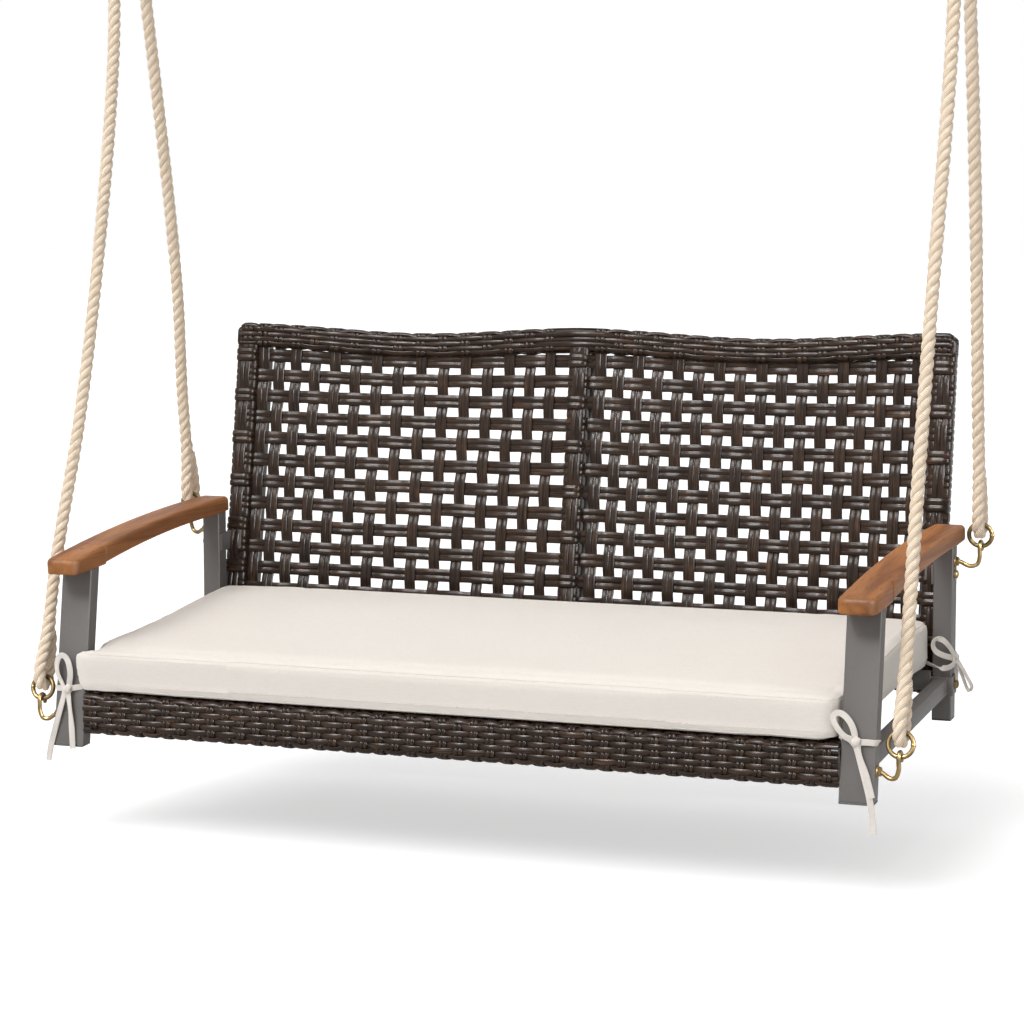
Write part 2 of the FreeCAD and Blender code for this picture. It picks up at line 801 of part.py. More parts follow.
# Hooks: a rod out from the leg, up, and over the ring's wire
def hook(leg_x, y, z, column_set):
    base = Vector(leg_x, y, z)
    corner = Vector(hang_half_span, y + column_set - hook_crook_r, z)
    top = corner + z_axis * (hook_bend_r + hook_rise)
    heading = unit(corner - base)
    root = base + heading * hook_flange_thickness * hook_root_share
    moves = bent_moves([root, corner, top], hook_bend_r)
    moves.append(("turn", math.pi, x_axis * -1, hook_crook_r))
    moves.append(("run", hook_tip, None, None))
    rod = swept(root, heading, perpendicular(heading), round_section(hook_rod_r), moves)[0]
    flange_face = section_face(base, y_axis, z_axis, round_section(hook_flange_r))
    flange = flange_face.extrude(x_axis * hook_flange_thickness)
    return flange.fuse(rod).removeSplitter(), top + y_axis * hook_crook_r


front_hook, front_eye = hook(front_leg_outer_x, front_hook_y, front_hook_z, front_hook_set)
rear_hook, rear_eye = hook(rear_leg_outer_x, rear_hook_y, rear_hook_z, rear_hook_set)
seat_group("rope_hooks", both_sides([front_hook, rear_hook]))


# Brackets between the rear legs and the back panel
def back_face_y(z):
    return back_line_y + (z - back_line_z) * math.tan(back_recline)


grip_low_z = back_bracket_z - back_bracket_height / 2
grip_top_z = back_bracket_z + back_bracket_height / 2
grip_front_y = back_bracket_y - back_bracket_grip / 2
grip_outer_x = rear_leg_inner_x - touch_gap
meet_low_y = back_face_y(grip_low_z) - touch_gap
meet_top_y = back_face_y(grip_top_z) - touch_gap
back_bracket_arm = prism_yz(
    [(grip_front_y, grip_low_z), (meet_low_y, grip_low_z),
     (meet_top_y, grip_top_z), (grip_front_y, grip_top_z)],
    grip_outer_x - back_bracket_thickness, grip_outer_x)
back_bracket_foot = prism_yz(
    [(meet_low_y - back_bracket_thickness, grip_low_z), (meet_low_y, grip_low_z),
     (meet_top_y, grip_top_z), (meet_top_y - back_bracket_thickness, grip_top_z)],
    rear_leg_inner_x - back_bracket_flange, grip_outer_x)
seat_pair("back_bracket", back_bracket_arm.fuse(back_bracket_foot).removeSplitter())


# Ties: a strap round each leg, a knot, one loop and two tails
def tie_strap(depth, slope, inner_x, outer_x, start_x):
    normal_depth = depth * math.cos(math.atan(slope))
    near = tie_gap
    far = tie_gap + tie_thickness
    return prism_xy([
        (start_x, -far), (outer_x + far, -far), (outer_x + far, normal_depth + far),
        (inner_x + far, normal_depth + far), (inner_x + far, normal_depth + near),
        (outer_x + near, normal_depth + near), (outer_x + near, -near), (start_x, -near)],
        -tie_width / 2, tie_width / 2)


def tie_loop(root, knot):
    half_angle = math.asin(loop_round_r / (loop_length - loop_round_r))
    loop_centre = root + z_axis * (loop_length - loop_round_r)
    tape = flat_section(loop_width, tie_thickness)
    halves = []
    for way in (-1, 1):
        touch = loop_centre + Vector(
            way * loop_round_r * math.cos(half_angle), 0, -loop_round_r * math.sin(half_angle))
        run = touch - root
        halves.append(swept(root, unit(run), y_axis, tape, [
            ("run", run.Length, None, None),
            ("turn", math.pi / 2 + half_angle, y_axis * -way, loop_round_r)])[0])
    loop = halves[0].fuse(halves[1]).cut(knot)
    return max(loop.Solids, key=lambda solid: solid.Volume)


def tie_tail(way, length, tape_n, knot):
    start = Vector(way * knot_width / 4, tape_n, tie_width / 4 - knot_height / 2)
    bend = start + Vector(way * tail_spread, 0, -length * tail_bend_share)
    end = Vector(bend.x, tape_n, start.z - length)
    radius = length * tail_bend_share
    tape = flat_section(tie_width, tie_thickness)
    heading = unit(bend - start)
    tail, run = swept(start, heading, heading.cross(y_axis), tape, bent_moves([start, bend, end], radius))
    print("tie tail", round(run, 1), "bend radius", round(radius, 1),
          "volume share", share_of_tube(tail, run, tape))
    return tail.cut(knot)


def tie_solids(strap, knot_place, leg_place):
    far = tie_gap + tie_thickness
    knot = box(-knot_width / 2, knot_width / 2, -far - knot_depth, -far - touch_gap,
               -knot_height / 2, knot_height / 2)
    knot = knot.makeChamfer(knot_edge_cut, edges_along(knot, y_axis))
    tape_n = -far - knot_depth / 2
    bow = [knot, tie_loop(Vector(0, tape_n, knot_height / 2 - tie_width / 4), knot)]
    for way, length in ((-1, short_tail), (1, long_tail)):
        bow.append(tie_tail(way, length, tape_n, knot))
    strap.Placement = leg_place.multiply(strap.Placement)
    for solid in bow:
        solid.Placement = leg_place.multiply(knot_place).multiply(solid.Placement)
    return [strap] + bow


def leg_place_at(front_y, slope, z):
    turn = math.degrees(math.atan(slope))
    return FreeCAD.Placement(Vector(0, front_y(z), z), FreeCAD.Rotation(x_axis, -turn))


front_strap = tie_strap(front_leg_depth, front_leg_slope, front_leg_inner_x, front_leg_outer_x,
                        cushion_half_width - cushion_corner_r / 2)
front_tie = tie_solids(
    front_strap,
    FreeCAD.Placement(Vector(front_knot_x, 0, 0), FreeCAD.Rotation()),
    leg_place_at(front_leg_y, front_leg_slope, front_tie_z))
rear_strap = tie_strap(rear_leg_depth, rear_leg_slope, rear_leg_inner_x, rear_leg_outer_x,
                       cushion_half_width + link_gap)
rear_tie = tie_solids(
    rear_strap,
    FreeCAD.Placement(Vector(rear_leg_outer_x, rear_leg_depth / 2, 0), FreeCAD.Rotation(z_axis, 90)),
    leg_place_at(rear_leg_front_y, rear_leg_slope, rear_tie_z))
seat_group("front_ties", both_sides(front_tie))
seat_group("rear_ties", both_sides(rear_tie))


# Ceiling hangers, top rings, ropes and lower rings
bar_z = -plate_thickness - staple_drop
top_ring_z = bar_z + staple_rod_r + top_ring_rod_r + link_gap - top_ring_r
top_eye_z = top_ring_z - math.sqrt(top_ring_r ** 2 - top_eye_offset ** 2)


def hanger_plate(centre_x):
    half_x = plate_width / 2
    half_y = plate_length / 2
    plate = box(centre_x - half_x, centre_x + half_x, -half_y, half_y, -plate_thickness, 0.0)
    plate = plate.makeChamfer(plate_corner_cut, edges_along(plate, z_axis))
    for way in (-1, 1):
        foot = Vector(centre_x, way * plate_screw_spacing / 2, -plate_thickness)
        plate = plate.cut(Part.makeCylinder(plate_screw_r, plate_thickness, foot, z_axis))
    return plate


def hanger_staple(centre_x):
    points = []
    for way, z in ((-1, -plate_thickness), (-1, bar_z), (1, bar_z), (1, -plate_thickness)):
        points.append(Vector(centre_x + way * staple_half_span, 0, z))
    moves = bent_moves(points, staple_bend_r)
    return swept(points[0], z_axis * -1, y_axis, round_section(staple_rod_r), moves)[0]


def rope_section_wire(centre, along, radius):
    first = perpendicular(along) * radius
    second = along.cross(first)
    points = []
    for index in range(rope_sides):
        turn = 2 * math.pi * index / rope_sides
        points.append(centre + first * math.cos(turn) + second * math.sin(turn))
    return Part.makePolygon(points + [points[0]])


def rope_eye(wire_centre, toward, sideways, wire_r, gap):
    eye_r = rope_r * rope_eye_r_share
    turn_r = wire_r + gap + eye_r
    throat = wire_centre + toward * rope_eye_length
    half_angle = math.asin(turn_r / rope_eye_length)
    section = round_section(eye_r)
    halves = []
    for way in (-1, 1):
        outward = toward * math.sin(half_angle) + sideways * way * math.cos(half_angle)
        run = wire_centre + outward * turn_r - throat
        heading = unit(run)
        half, length = swept(throat, heading, toward.cross(sideways), section, [
            ("run", run.Length, None, None),
            ("turn", math.pi / 2 + half_angle, toward.cross(sideways) * way, turn_r)])
        print("rope eye", round(length, 1), "turn radius", round(turn_r, 1),
              "volume share", share_of_tube(half, length, section))
        halves.append(half)
    swell = rope_section_wire(throat, toward, rope_r * splice_swell_share)
    slim = rope_section_wire(throat + toward * splice_length, toward, rope_r * splice_end_share)
    return halves + [Part.makeLoft([swell, slim], True, True)], throat


def hung_rope(eye_seat, side, way):
    eye = seat_place.multVec(Vector(eye_seat.x * side, eye_seat.y, eye_seat.z))
    top = Vector(side * hang_half_span, way * top_eye_offset, top_eye_z)
    along = unit(top - eye)
    pin = eye + along * (hook_crook_r - hook_rod_r - ring_rod_r - link_gap)
    facing = unit(x_axis.cross(along))
    ring = wire_ring(pin + along * ring_r, facing, ring_r, ring_rod_r)
    low_pieces, low_throat = rope_eye(pin + along * ring_r * 2, along, facing, ring_rod_r, link_gap)
    across = unit(x_axis - along * x_axis.dot(along))
    high_pieces, high_throat = rope_eye(top, along * -1, across, top_ring_rod_r, skew_gap)
    run = high_throat - low_throat
    standing = Part.Face(rope_section_wire(low_throat, along, rope_r)).extrude(run)
    rope = standing.fuse(low_pieces + high_pieces).removeSplitter()
    print("rope pin", pin, "top", top, "standing run", round(run.Length, 1), "solids", len(rope.Solids))
    return rope, ring


plates = []
staples = []
top_rings = []
for side_name, side in (("left", -1), ("right", 1)):
    centre_x = side * hang_half_span
    plates.append(hanger_plate(centre_x))
    staples.append(hanger_staple(centre_x))
    top_rings.append(wire_ring(Vector(centre_x, 0, top_ring_z), x_axis, top_ring_r, top_ring_rod_r))
    rings = []
    for end_name, eye_seat, way in (("front", front_eye, -1), ("rear", rear_eye, 1)):
        rope, ring = hung_rope(eye_seat, side, way)
        nodes[side_name + "_" + end_name + "_rope"] = rope
        rings.append(ring)
    nodes[side_name + "_rope_rings"] = Part.makeCompound(rings)
nodes["hanger_plates"] = Part.makeCompound(plates)
nodes["hanger_staples"] = Part.makeCompound(staples)
nodes["top_rings"] = Part.makeCompound(top_rings)

os.makedirs("parts", exist_ok=True)
for name, shape in nodes.items():
    shape.exportStep("parts/" + name + ".step")
print(len(nodes), "nodes, all valid:", all(shape.isValid() for shape in nodes.values()))
print("not valid:", [name for name, shape in nodes.items() if not shape.isValid()])
print("solids:", {name: len(shape.Solids) for name, shape in nodes.items() if len(shape.Solids) != 1})
print("bar height", bar_z, "top eye height", top_eye_z)
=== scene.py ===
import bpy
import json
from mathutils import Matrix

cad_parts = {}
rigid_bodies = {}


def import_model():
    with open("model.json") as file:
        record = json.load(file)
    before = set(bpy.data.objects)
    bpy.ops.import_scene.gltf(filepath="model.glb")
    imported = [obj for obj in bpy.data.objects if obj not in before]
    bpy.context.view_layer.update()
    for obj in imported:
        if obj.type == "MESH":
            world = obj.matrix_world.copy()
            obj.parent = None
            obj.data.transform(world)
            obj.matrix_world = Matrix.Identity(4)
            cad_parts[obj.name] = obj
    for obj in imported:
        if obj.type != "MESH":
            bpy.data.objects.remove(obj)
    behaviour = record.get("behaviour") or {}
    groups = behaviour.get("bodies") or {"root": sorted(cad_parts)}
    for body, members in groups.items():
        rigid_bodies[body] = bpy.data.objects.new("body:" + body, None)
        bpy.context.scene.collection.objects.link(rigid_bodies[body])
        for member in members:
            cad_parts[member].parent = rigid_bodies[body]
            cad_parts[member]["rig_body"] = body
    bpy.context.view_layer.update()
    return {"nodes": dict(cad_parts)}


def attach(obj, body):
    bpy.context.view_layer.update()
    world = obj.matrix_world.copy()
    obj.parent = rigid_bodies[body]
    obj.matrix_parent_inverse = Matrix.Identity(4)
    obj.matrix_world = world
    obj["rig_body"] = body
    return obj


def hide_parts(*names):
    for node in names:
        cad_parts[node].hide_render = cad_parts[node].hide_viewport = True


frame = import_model()

import json
import math

import bmesh
import bpy
import numpy as np
from mathutils import Matrix, Vector
from mathutils.bvhtree import BVHTree

bl_info = {
    "name": "Hanging swing seat",
    "version": (1, 0, 0),
    "blender": (4, 5, 0),
    "location": "3D View > Sidebar > Swing seat",
    "description": "Dresses the hanging swing seat: woven back, cushion, ropes, wood and brass",
    "category": "Object",
}

# Metres and degrees: the seat leans on its ropes, and the back leans on the seat.
FRONT_FOOT, SEAT_LEAN = (0, -0.3243, -1.455), 4.2
BACK_FOOT, BACK_LEAN = (0, 0.542, 0.171), -12.6
# The seat's pieces are drawn in millimetres from the front foot.
SEAT = Matrix.Translation(FRONT_FOOT) @ Matrix.Rotation(math.radians(SEAT_LEAN), 4, "X")
# The back panel is drawn across, back and up from the seat's rear edge.
BACK = SEAT @ Matrix.Translation(BACK_FOOT) @ Matrix.Rotation(math.radians(BACK_LEAN), 4, "X")
# Ropes and rings are drawn in the frame of the whole part.
WHOLE = Matrix.Identity(4)
MM = 0.001
TO_MM = 1000.0
FULL_TURN = 2 * math.pi
SIDES = {"left": -1, "right": 1}
UP = np.array((0.0, 0.0, 1.0))
# Spacing of the points along a rope or a strap, in metres.
CORD_STEP = 0.0022


# Settings

def length_setting(name, default, description):
    return bpy.props.FloatProperty(
        name=name, description=description, default=default, unit="LENGTH", precision=4)


def number_setting(name, default, description):
    return bpy.props.FloatProperty(name=name, description=description, default=default)


def place_setting(name, default, description):
    return bpy.props.FloatVectorProperty(
        name=name, description=description, default=default, subtype="TRANSLATION", unit="LENGTH")


def colour_setting(name, default, description):
    return bpy.props.FloatVectorProperty(
        name=name, description=description, default=default, subtype="COLOR", size=3,
        min=0, max=1)


class SwingSeatSizes(bpy.types.PropertyGroup):
    """Sizes of the strands, ropes, straps and edges."""
    rope_diameter: length_setting("Rope diameter", 0.020, "Across the laid rope")
    rope_lay: length_setting("Rope lay", 0.048, "Length of one turn of a rope strand")
    strand_width: length_setting("Strand width", 0.0098, "Width of a wicker strand")
    strand_thickness: length_setting("Strand thickness", 0.0046, "Thickness of a wicker strand")
    apron_row: length_setting("Apron row", 0.0090, "Width of a wicker row on the front rail")
    strap_width: length_setting("Strap width", 0.009, "Width of a cushion tie")
    edge_round: length_setting("Edge round", 0.0016, "Rounding on the metal tubes' edges")
    cushion_swell: length_setting("Cushion swell", 0.008, "Most that the cushion's filling lifts it")


class SwingSeatColours(bpy.types.PropertyGroup):
    """Colours of the finishes."""
    wicker_dark: colour_setting("Wicker, dark", (0.014, 0.0085, 0.0062), "Strands' dark brown")
    wicker_mid: colour_setting("Wicker, middle", (0.066, 0.041, 0.0285), "Strands' usual brown")
    wicker_warm: colour_setting("Wicker, warm", (0.165, 0.082, 0.044), "Strands' warm streaks")
    frame_grey: colour_setting("Frame grey", (0.126, 0.115, 0.108), "Powder coat on the tubes")
    wood_light: colour_setting("Wood, light", (0.400, 0.155, 0.043), "Armrests' pale grain")
    wood_dark: colour_setting("Wood, dark", (0.185, 0.062, 0.0150), "Armrests' dark grain")
    cloth: colour_setting("Cushion cloth", (0.815, 0.760, 0.700), "Cushion's cream cloth")
    # Rope colours: the pale one is a painted lit colour on the yarns' tops; the dark one is painted
    # shade between the yarns, and also the tone of darker patches.
    rope_pale: colour_setting("Rope, pale", (0.990, 0.895, 0.760), "Rope's lit fibres")
    rope_dark_and_groove_shade: colour_setting("Rope, deep", (0.740, 0.550, 0.370), "Painted shade between the rope's fibres, and darker patches")
    brass: colour_setting("Brass", (0.225, 0.155, 0.064), "Rings, hooks and bolts")
    brass_aged: colour_setting("Brass, aged", (0.070, 0.047, 0.021), "Brown skin on the brass")
    rubber: colour_setting("Rubber", (0.012, 0.012, 0.012), "Foot plugs")


class SwingSeatStage(bpy.types.PropertyGroup):
    """Camera, light and floor."""
    camera_place: place_setting(
        "Camera place", (1.58567, -4.14461, -0.64845), "Where the camera stands")
    camera_target: place_setting(
        "Camera target", (0.110, -0.3243, -1.0695), "Point that the camera looks at")
    camera_lens: number_setting("Camera lens", 101.95, "Focal length in millimetres")
    floor_height: length_setting("Floor height", -1.585, "Height of the floor under the seat")
    sky_strength: number_setting("Sky strength", 0.42, "Soft light from all round")
    sun_strength: number_setting("Sun strength", 1.98, "Broad light from above and the left")
    fill_strength: number_setting("Fill strength", 0.68, "Broad light from the camera's side")
    back_strength: number_setting("Back strength", 0.50, "Broad light from behind")
    glint_strength: number_setting("Glint strength", 12.0, "Narrow lights that only gloss picks up")


def sizes():
    return bpy.context.scene.swing_seat_sizes


def colours():
    return bpy.context.scene.swing_seat_colours


# Shader maths

class Flow:
    """A shader socket: arithmetic on it adds the Math or Vector Math nodes."""

    def __init__(self, finish, socket):
        self.finish = finish
        self.socket = socket

    def combine(self, operation, first, second):
        kind, out = "ShaderNodeMath", "Value"
        if self.socket.type == "VECTOR":
            kind, out = "ShaderNodeVectorMath", "Vector"
        return self.finish.node(kind, {"operation": operation}, {0: first, 1: second}, out)

    def __add__(self, other):
        return self.combine("ADD", self, other)

    def __radd__(self, other):
        return self.combine("ADD", other, self)

    def __sub__(self, other):
        return self.combine("SUBTRACT", self, other)

    def __rsub__(self, other):
        return self.combine("SUBTRACT", other, self)

    def __mul__(self, other):
        return self.combine("MULTIPLY", self, other)

    def __rmul__(self, other):
        return self.combine("MULTIPLY", other, self)


class Finish:
    """One material, or the world, and the method that adds its nodes."""

    def __init__(self, name, owner=None):
        self.material = owner or bpy.data.materials.new(name)
        self.material.use_nodes = True
        self.tree = self.material.node_tree
        self.tree.nodes.clear()

    def node(self, kind, settings=None, inputs=None, out=0):
        node = self.tree.nodes.new(kind)
        for key, value in (settings or {}).items():
            setattr(node, key, value)
        for key, value in (inputs or {}).items():
            if isinstance(value, Flow):
                self.tree.links.new(value.socket, node.inputs[key])
            else:
                given = tuple(value) if hasattr(value, "__len__") else value
                colour = node.inputs[key].type == "RGBA" and len(given) == 3
                node.inputs[key].default_value = (*given, 1.0) if colour else given
        return Flow(self, node.outputs[out]) if len(node.outputs) else node

    def maths(self, operation, *values):
        return self.node("ShaderNodeMath", {"operation": operation}, dict(enumerate(values)))

    def lay(self):
        """Along a strand, round it, and the strand's own number."""
        return self.node("ShaderNodeAttribute", {"attribute_name": "lay"}, {}, "Vector")

    def place(self):
        return self.node("ShaderNodeTexCoord", {}, {}, "Object")

    def part(self, vector, axis):
        return self.node("ShaderNodeSeparateXYZ", {}, {0: vector}, axis)

    def noise(self, vector, scale=1.0, detail=3.0, roughness=0.55, warp=0.0):
        return self.node(
            "ShaderNodeTexNoise", {},
            {"Vector": vector, "Scale": scale, "Detail": detail, "Roughness": roughness,
             "Distortion": warp})

    def sine(self, value):
        return self.maths("SINE", value)

    def band(self, value, low, high):
        return self.node(
            "ShaderNodeMapRange", {"interpolation_type": "SMOOTHSTEP"},
            {"Value": value, "From Min": low, "From Max": high})

    def tint(self, share, first, second):
        return self.node(
            "ShaderNodeMix", {"data_type": "RGBA", "blend_type": "MIX"},
            {0: share, 6: first, 7: second}, 2)

    def seen(self):
        """1 where the camera, a polished face or glass looks, and 0 for soft light."""
        share = 0.0
        for ray in ("Is Camera Ray", "Is Glossy Ray", "Is Transmission Ray"):
            share = self.maths("MAXIMUM", share, self.node("ShaderNodeLightPath", {}, {}, ray))
        return share

    def bump(self, height, strength, distance):
        return self.node(
            "ShaderNodeBump", {}, {"Height": height, "Strength": strength, "Distance": distance},
            "Normal")

    def surface(self, **inputs):
        shader = self.node(
            "ShaderNodeBsdfPrincipled", {},
            {key.replace("_", " "): value for key, value in inputs.items()}, "BSDF")
        self.node("ShaderNodeOutputMaterial", {}, {"Surface": shader})
        return self.material


def toned(colour, share):
    return [value * share for value in colour]


def wicker_finish():
    """Round synthetic cane: fine length streaks, a warm strand here and there, dull gloss."""
    f, c = Finish("wicker_strands"), colours()
    lay = f.lay()
    streak = f.noise(lay * (11.0, 900.0, 37.0), detail=4.0, roughness=0.6)
    patch = f.noise(lay * (26.0, 60.0, 53.0), detail=2.0)
    own = f.noise(lay * (3.0, 0.0, 91.0), detail=1.0)
    warm = f.band(patch, low=0.50, high=0.80) * f.band(streak, low=0.40, high=0.62) * 0.75
    base = f.tint(f.band(streak, low=0.32, high=0.68), c.wicker_dark, c.wicker_mid)
    base = f.tint(warm, base, c.wicker_warm)
    base = f.tint(f.band(own, low=0.45, high=0.75) * 0.60, base, c.wicker_dark)
    ribs = f.sine(f.part(lay, "Y") * 3900.0) * 0.5 + streak * 0.9
    return f.surface(
        Base_Color=base, Roughness=0.20 + streak * 0.20, Specular_IOR_Level=0.10,
        Normal=f.bump(ribs, strength=0.30, distance=0.00035))


def frame_finish():
    """Fine-textured powder coat on metal tube."""
    f, grey = Finish("grey_powder_coat"), colours().frame_grey
    place = f.place()
    speck = f.noise(place, scale=1500.0, detail=2.0, roughness=0.7)
    cloud = f.noise(place, scale=9.0)
    base = f.tint(f.band(speck, low=0.40, high=0.66) * 0.55, grey, toned(grey, 1.35))
    base = f.tint(f.band(cloud, low=0.40, high=0.75) * 0.35, base, toned(grey, 0.72))
    return f.surface(
        Base_Color=base, Roughness=0.46 + speck * 0.20, Specular_IOR_Level=0.22,
        Normal=f.bump(speck, strength=0.30, distance=0.0003))


def wood_finish():
    """Oiled hardwood: long grain lines, pores and slow bands of red and pale brown."""
    f, c = Finish("oiled_hardwood"), colours()
    place = f.place()
    bands = f.noise(place * (26.0, 2.2, 40.0), warp=0.8)
    lines = f.noise(place * (330.0, 5.0, 330.0), detail=4.0, roughness=0.65)
    pores = f.noise(place * (1500.0, 45.0, 1500.0), detail=2.0, roughness=0.5)
    base = f.tint(f.band(bands, low=0.30, high=0.72), c.wood_light, c.wood_dark)
    base = f.tint(f.band(lines, low=0.50, high=0.74) * 0.65, base, toned(c.wood_dark, 0.75))
    base = f.tint(f.band(pores, low=0.60, high=0.74) * 0.45, base, toned(c.wood_dark, 0.45))
    return f.surface(
        Base_Color=base, Roughness=0.44 + lines * 0.22, Specular_IOR_Level=0.16,
        Normal=f.bump(lines * 0.6 + pores * 0.6, strength=0.25, distance=0.0004))


def cloth_finish(name, colour):
    """Plain-woven cream cloth: crossing threads, slubs and a little shading."""
    f = Finish(name)
    place, thread_turn = f.place(), 5200.0
    warp = f.sine(f.part(place, "X") * thread_turn)
    weft = f.sine((f.part(place, "Y") + f.part(place, "Z")) * thread_turn)
    threads = warp * weft
    slub = f.noise(place * (90.0, 420.0, 420.0)) * 0.5 + f.noise(place * (420.0, 90.0, 420.0)) * 0.5
    cloud = f.noise(place, scale=7.0, detail=2.0)
    base = f.tint(f.band(slub, low=0.35, high=0.68), colour, toned(colour, 0.955))
    base = f.tint(f.band(cloud, low=0.35, high=0.75) * 0.15, base, toned(colour, 0.90))
    return f.surface(
        Base_Color=base, Roughness=0.88 + slub * 0.08, Specular_IOR_Level=0.05, Sheen_Weight=0.10,
        Sheen_Roughness=0.6, Normal=f.bump(threads * 0.35 + slub, strength=0.30, distance=0.0006))


def rope_finish():
    """Laid natural fibre: yarns along each strand, with shade painted between them as a deeper colour
    and a painted lit colour on their tops.
    """
    f, c = Finish("natural_rope"), colours()
    lay = f.lay()
    yarns = f.sine(f.part(lay, "Y") * 2600.0 + f.part(lay, "X") * 260.0)
    fibre = f.noise(lay * (60.0, 2200.0, 71.0), roughness=0.65)
    patch = f.noise(lay * (18.0, 40.0, 13.0), detail=2.0)
    # The fibre noise varies the tone. The yarn stripes paint shade between the yarns and light on
    # their tops, and the same mask also drives the bump.
    fuzz_and_groove_shade = yarns * 0.5 + fibre
    base = f.tint(f.band(fuzz_and_groove_shade, low=0.15, high=0.75), c.rope_dark_and_groove_shade, c.rope_pale)
    base = f.tint(f.band(patch, low=0.45, high=0.75) * 0.25, base, c.rope_dark_and_groove_shade)
    return f.surface(
        Base_Color=base, Roughness=0.85 + fibre * 0.1, Specular_IOR_Level=0.08,
        Normal=f.bump(fuzz_and_groove_shade, strength=0.5, distance=0.0006))


def brass_finish():
    """Aged brass: rubbed bright on the high places, brown where it is not touched."""
    f, c = Finish("aged_brass"), colours()
    place = f.place()
    skin = f.noise(place, scale=85.0, detail=4.0, roughness=0.6)
    fine = f.noise(place, scale=900.0, detail=2.0, roughness=0.6)
    aged = f.band(skin * 0.8 + fine * 0.2, low=0.38, high=0.66)
    return f.surface(
        Base_Color=f.tint(aged, c.brass, c.brass_aged), Metallic=1.0 - aged * 0.35,
        Roughness=0.32 + aged * 0.28,
        Normal=f.bump(fine * 0.5 + skin, strength=0.18, distance=0.0004))


def rubber_finish():
    """Moulded black rubber with a fine matt grain and a little dust."""
    f, c = Finish("black_rubber"), colours()
    place, dust_colour = f.place(), (0.05, 0.047, 0.044)
    grain = f.noise(place, scale=1100.0, detail=2.0, roughness=0.7)
    dust = f.noise(place, scale=60.0)
    base = f.tint(f.band(dust, low=0.5, high=0.8) * 0.35, c.rubber, dust_colour)
    return f.surface(
        Base_Color=base, Roughness=0.62 + grain * 0.2,
        Normal=f.bump(grain, strength=0.25, distance=0.0003))


FINISHES = {
    "wicker": wicker_finish,
    "frame": frame_finish,
    "armrest_wood": wood_finish,
    "cushion_cloth": lambda: cloth_finish("cream_cloth", colours().cloth),
    "strap_cloth": lambda: cloth_finish("cream_strap", toned(colours().cloth, 0.97)),
    "rope": rope_finish,
    "aged_brass": brass_finish,
    "foot_plug": rubber_finish,
}
made_finishes = {}


def finish(name):
    if name not in made_finishes:
        made_finishes[name] = FINISHES[name]()
    return made_finishes[name]


# Mesh helpers

def unit(vectors):
    return vectors / np.maximum(np.linalg.norm(vectors, axis=-1, keepdims=True), 1e-12)


def distances(points):
    """How far along a line of points each of them lies."""
    return np.concatenate([[0.0], np.cumsum(np.linalg.norm(np.diff(points, axis=0), axis=1))])


def smooth_share(share):
    share = np.clip(share, 0.0, 1.0)
    return share * share * (3.0 - 2.0 * share)


def ramp(value, start, full):
    """0 up to the start, 1 from full on, and eased between them."""
    return smooth_share((value - start) / (full - start))


def oval(width, thickness, sides=8, square=0.8):
    """A strand's section, drawn from the middle of its underside; 1 is round, less is boxy."""
    turn = np.arange(sides) * FULL_TURN / sides - math.pi / 2
    across = np.sign(np.cos(turn)) * np.abs(np.cos(turn)) ** square
    rise = np.sign(np.sin(turn)) * np.abs(np.sin(turn)) ** square
    return np.stack([across * width / 2, rise * thickness / 2], 1)


def disc(diameter, sides):
    return oval(diameter, diameter, sides, square=1.0)


def shade_smooth(mesh):
    mesh.polygons.foreach_set("use_smooth", [True] * len(mesh.polygons))


def new_piece(name, mesh, slot, body, nodes=(), look=None):
    """Links a mesh as a piece that rides on a body and stands for its nodes."""
    piece = bpy.data.objects.new(name, mesh)
    bpy.context.scene.collection.objects.link(piece)
    mesh.materials.clear()
    mesh.materials.append(finish(look or slot))
    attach(piece, body)
    if nodes:
        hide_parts(*nodes)
    return piece


